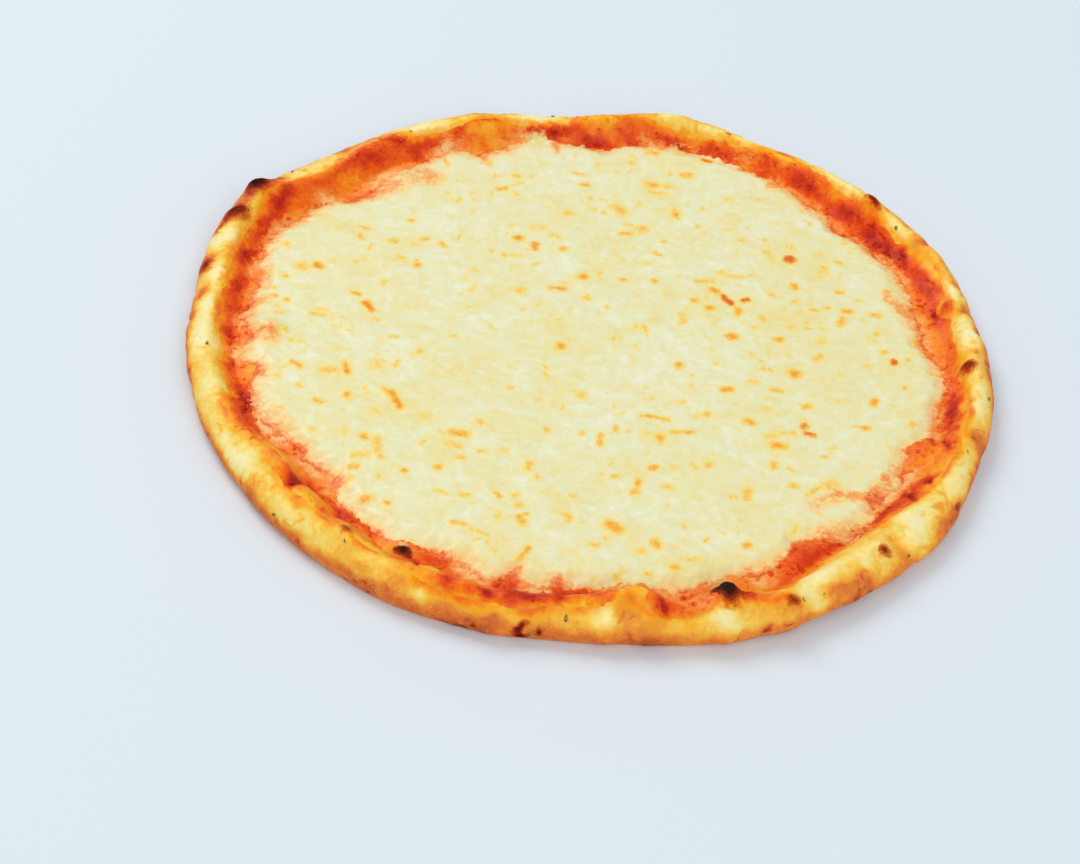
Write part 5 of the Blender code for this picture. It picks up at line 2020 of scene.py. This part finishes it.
@dataclass(frozen=True)
class Herbs:
    """Dried bits of leaf on the rim."""

    shares: tuple[float, ...] = (0.5, 1.0, 0.7)
    lifts: tuple[float, ...] = (0.42, 0.1, -0.3)
    pole_lifts: tuple[float, float] = (0.5, -0.3)
    sides: int = 14
    half_size: float = 0.62
    # How far two lobes, and three, stand out of the outline.
    lobes: tuple[tuple[float, float], ...] = ((2.0, 0.22), (3.0, 0.16))
    curl: float = 0.25

    def outline(self, rng: np.random.Generator) -> tuple[Array, Array]:
        """Draws the outline of one bit.

        Args:
            rng: where the random numbers come from.

        Returns:
            For each point, the share of the bit's size and the way it lies from the middle.
        """
        spoke = math.tau * np.arange(self.sides) / self.sides
        outline = np.ones(self.sides)
        for count, reach in self.lobes:
            outline += reach * np.sin(count * spoke + rng.uniform(0.0, math.tau))
        poles = [0.0, 0.0]
        share = np.concatenate([np.outer(self.shares, outline).ravel(), poles])
        return share, np.concatenate([np.tile(spoke, len(self.shares)), poles])

    def build(self) -> None:
        """Makes all the bits as one piece."""
        rng = np.random.default_rng(Seed.HERBS)
        # Angle and radius run the other way round from x and y, so each face is turned over.
        shell = [part[:, ::-1] for part in closed_rings(len(self.shares), self.sides)]
        per_bit = len(self.shares) * self.sides + 2
        lift = np.concatenate([np.repeat(self.lifts, self.sides), self.pole_lifts])
        points, faces = [], []
        for number, bit in enumerate(HERB_BITS):
            share, way = self.outline(rng)
            along = self.half_size * share * np.cos(way) * bit.along
            across = self.half_size * share * np.sin(way) * bit.across
            round_rim, outward = tipped(-bit.turn, along, across)
            angle = bit.angle + np.degrees(round_rim / bit.radius)
            radius = bit.radius + outward
            flat = SHAPE.place(angle, radius, SHAPE.top(angle, radius))
            curl = self.curl * np.sin(2.0 * way + bit.angle) * share
            flat[:, 2] += DoughBase().relief(flat, angle, radius) + bit.strength * lift + curl
            points.append(flat)
            faces.append([part + number * per_bit for part in shell])
        joined = [np.concatenate(parts) for parts in zip(*faces)]
        bits = inside_box(np.concatenate(points))
        piece = add_mesh("herb_bits", bits, joined, HerbFinish().make())
        dress(piece, Layer.DOUGH)


class Lamp(NamedTuple):
    """A soft round lamp that faces the pizza: its place and size in metres, and its watts."""

    name: str
    place: Color
    size: float
    power: float


@dataclass(frozen=True)
class Studio:
    """The pale floor, the soft light and the camera."""

    floor_tint: Tint = (224, 231, 235)
    floor_roughness: float = 0.7
    floor_reach: float = 4000.0
    floor_height: float = -0.05
    world_tint: Tint = (236, 243, 250)
    world_strength: float = 0.6
    lamps: tuple[Lamp, ...] = (
        Lamp("key_light", (-1.5, 1.5, 2.3), 1.8, 41.0),
        Lamp("fill_light", (1.0, -2.6, 2.2), 2.8, 46.0),
    )
    # The camera's place in metres, and its angles in degrees.
    camera_place: Color = (0.00117, -0.63826, 0.52555)
    camera_tilt: float = 48.2164
    camera_roll: float = -4.2240
    camera_turn: float = 5.2549
    lens: float = 73.333
    sensor: float = 36.0
    clip_end: float = 20.0

    def build(self) -> None:
        """Makes the floor, the lights, the world and the camera."""
        self.add_floor()
        self.add_world()
        for lamp in self.lamps:
            self.add_light(lamp)
        self.add_camera()
        bpy.context.scene.view_settings.view_transform = "Standard"

    def add_floor(self) -> None:
        """A wide pale floor under the pizza."""
        color = (*linear(*self.floor_tint), 1.0)
        sockets = {"Base Color": color, "Roughness": self.floor_roughness}
        material = Nodes("studio_floor").finish(sockets)
        ways = ((-1, -1), (1, -1), (1, 1), (-1, 1))
        corners = [(x * self.floor_reach, y * self.floor_reach, self.floor_height) for x, y in ways]
        floor = add_mesh("studio_floor", np.array(corners), [np.array([[0, 1, 2, 3]])], material)

    def add_world(self) -> None:
        """An even pale light from all round."""
        world = bpy.data.worlds.new("studio_world")
        world.use_nodes = True
        background = world.node_tree.nodes["Background"]
        background.inputs["Color"].default_value = (*linear(*self.world_tint), 1.0)
        background.inputs["Strength"].default_value = self.world_strength
        bpy.context.scene.world = world

    def add_light(self, lamp: Lamp) -> None:
        """Hangs a lamp.

        Args:
            lamp: its name, place, size and power.
        """
        light = bpy.data.lights.new(lamp.name, "AREA")
        light.shape = "DISK"
        light.size = lamp.size
        light.energy = lamp.power
        hung = bpy.data.objects.new(lamp.name, light)
        hung.location = lamp.place
        x, y, z = lamp.place
        hung.rotation_euler = Euler((math.atan2(math.hypot(x, y), z), 0.0, math.atan2(x, -y)))
        bpy.context.scene.collection.objects.link(hung)

    def add_camera(self) -> None:
        """The camera, looking down on the pizza from the front."""
        lens = bpy.data.cameras.new("camera")
        lens.lens = self.lens
        lens.sensor_width = self.sensor
        lens.clip_end = self.clip_end
        camera = bpy.data.objects.new("camera", lens)
        camera.location = self.camera_place
        angles = (self.camera_tilt, self.camera_roll, self.camera_turn)
        camera.rotation_euler = Euler([math.radians(value) for value in angles])
        bpy.context.scene.collection.objects.link(camera)
        bpy.context.scene.camera = camera


def main() -> None:
    """Builds the studio and every piece in order."""
    logging.basicConfig(level=logging.INFO, format="%(name)s %(message)s")
    Studio().build()
    for piece in (DoughBase(), SauceLayer(), CheeseLayer(), Lumps(), Herbs()):
        piece.build()


if __name__ == "__main__":
    main()
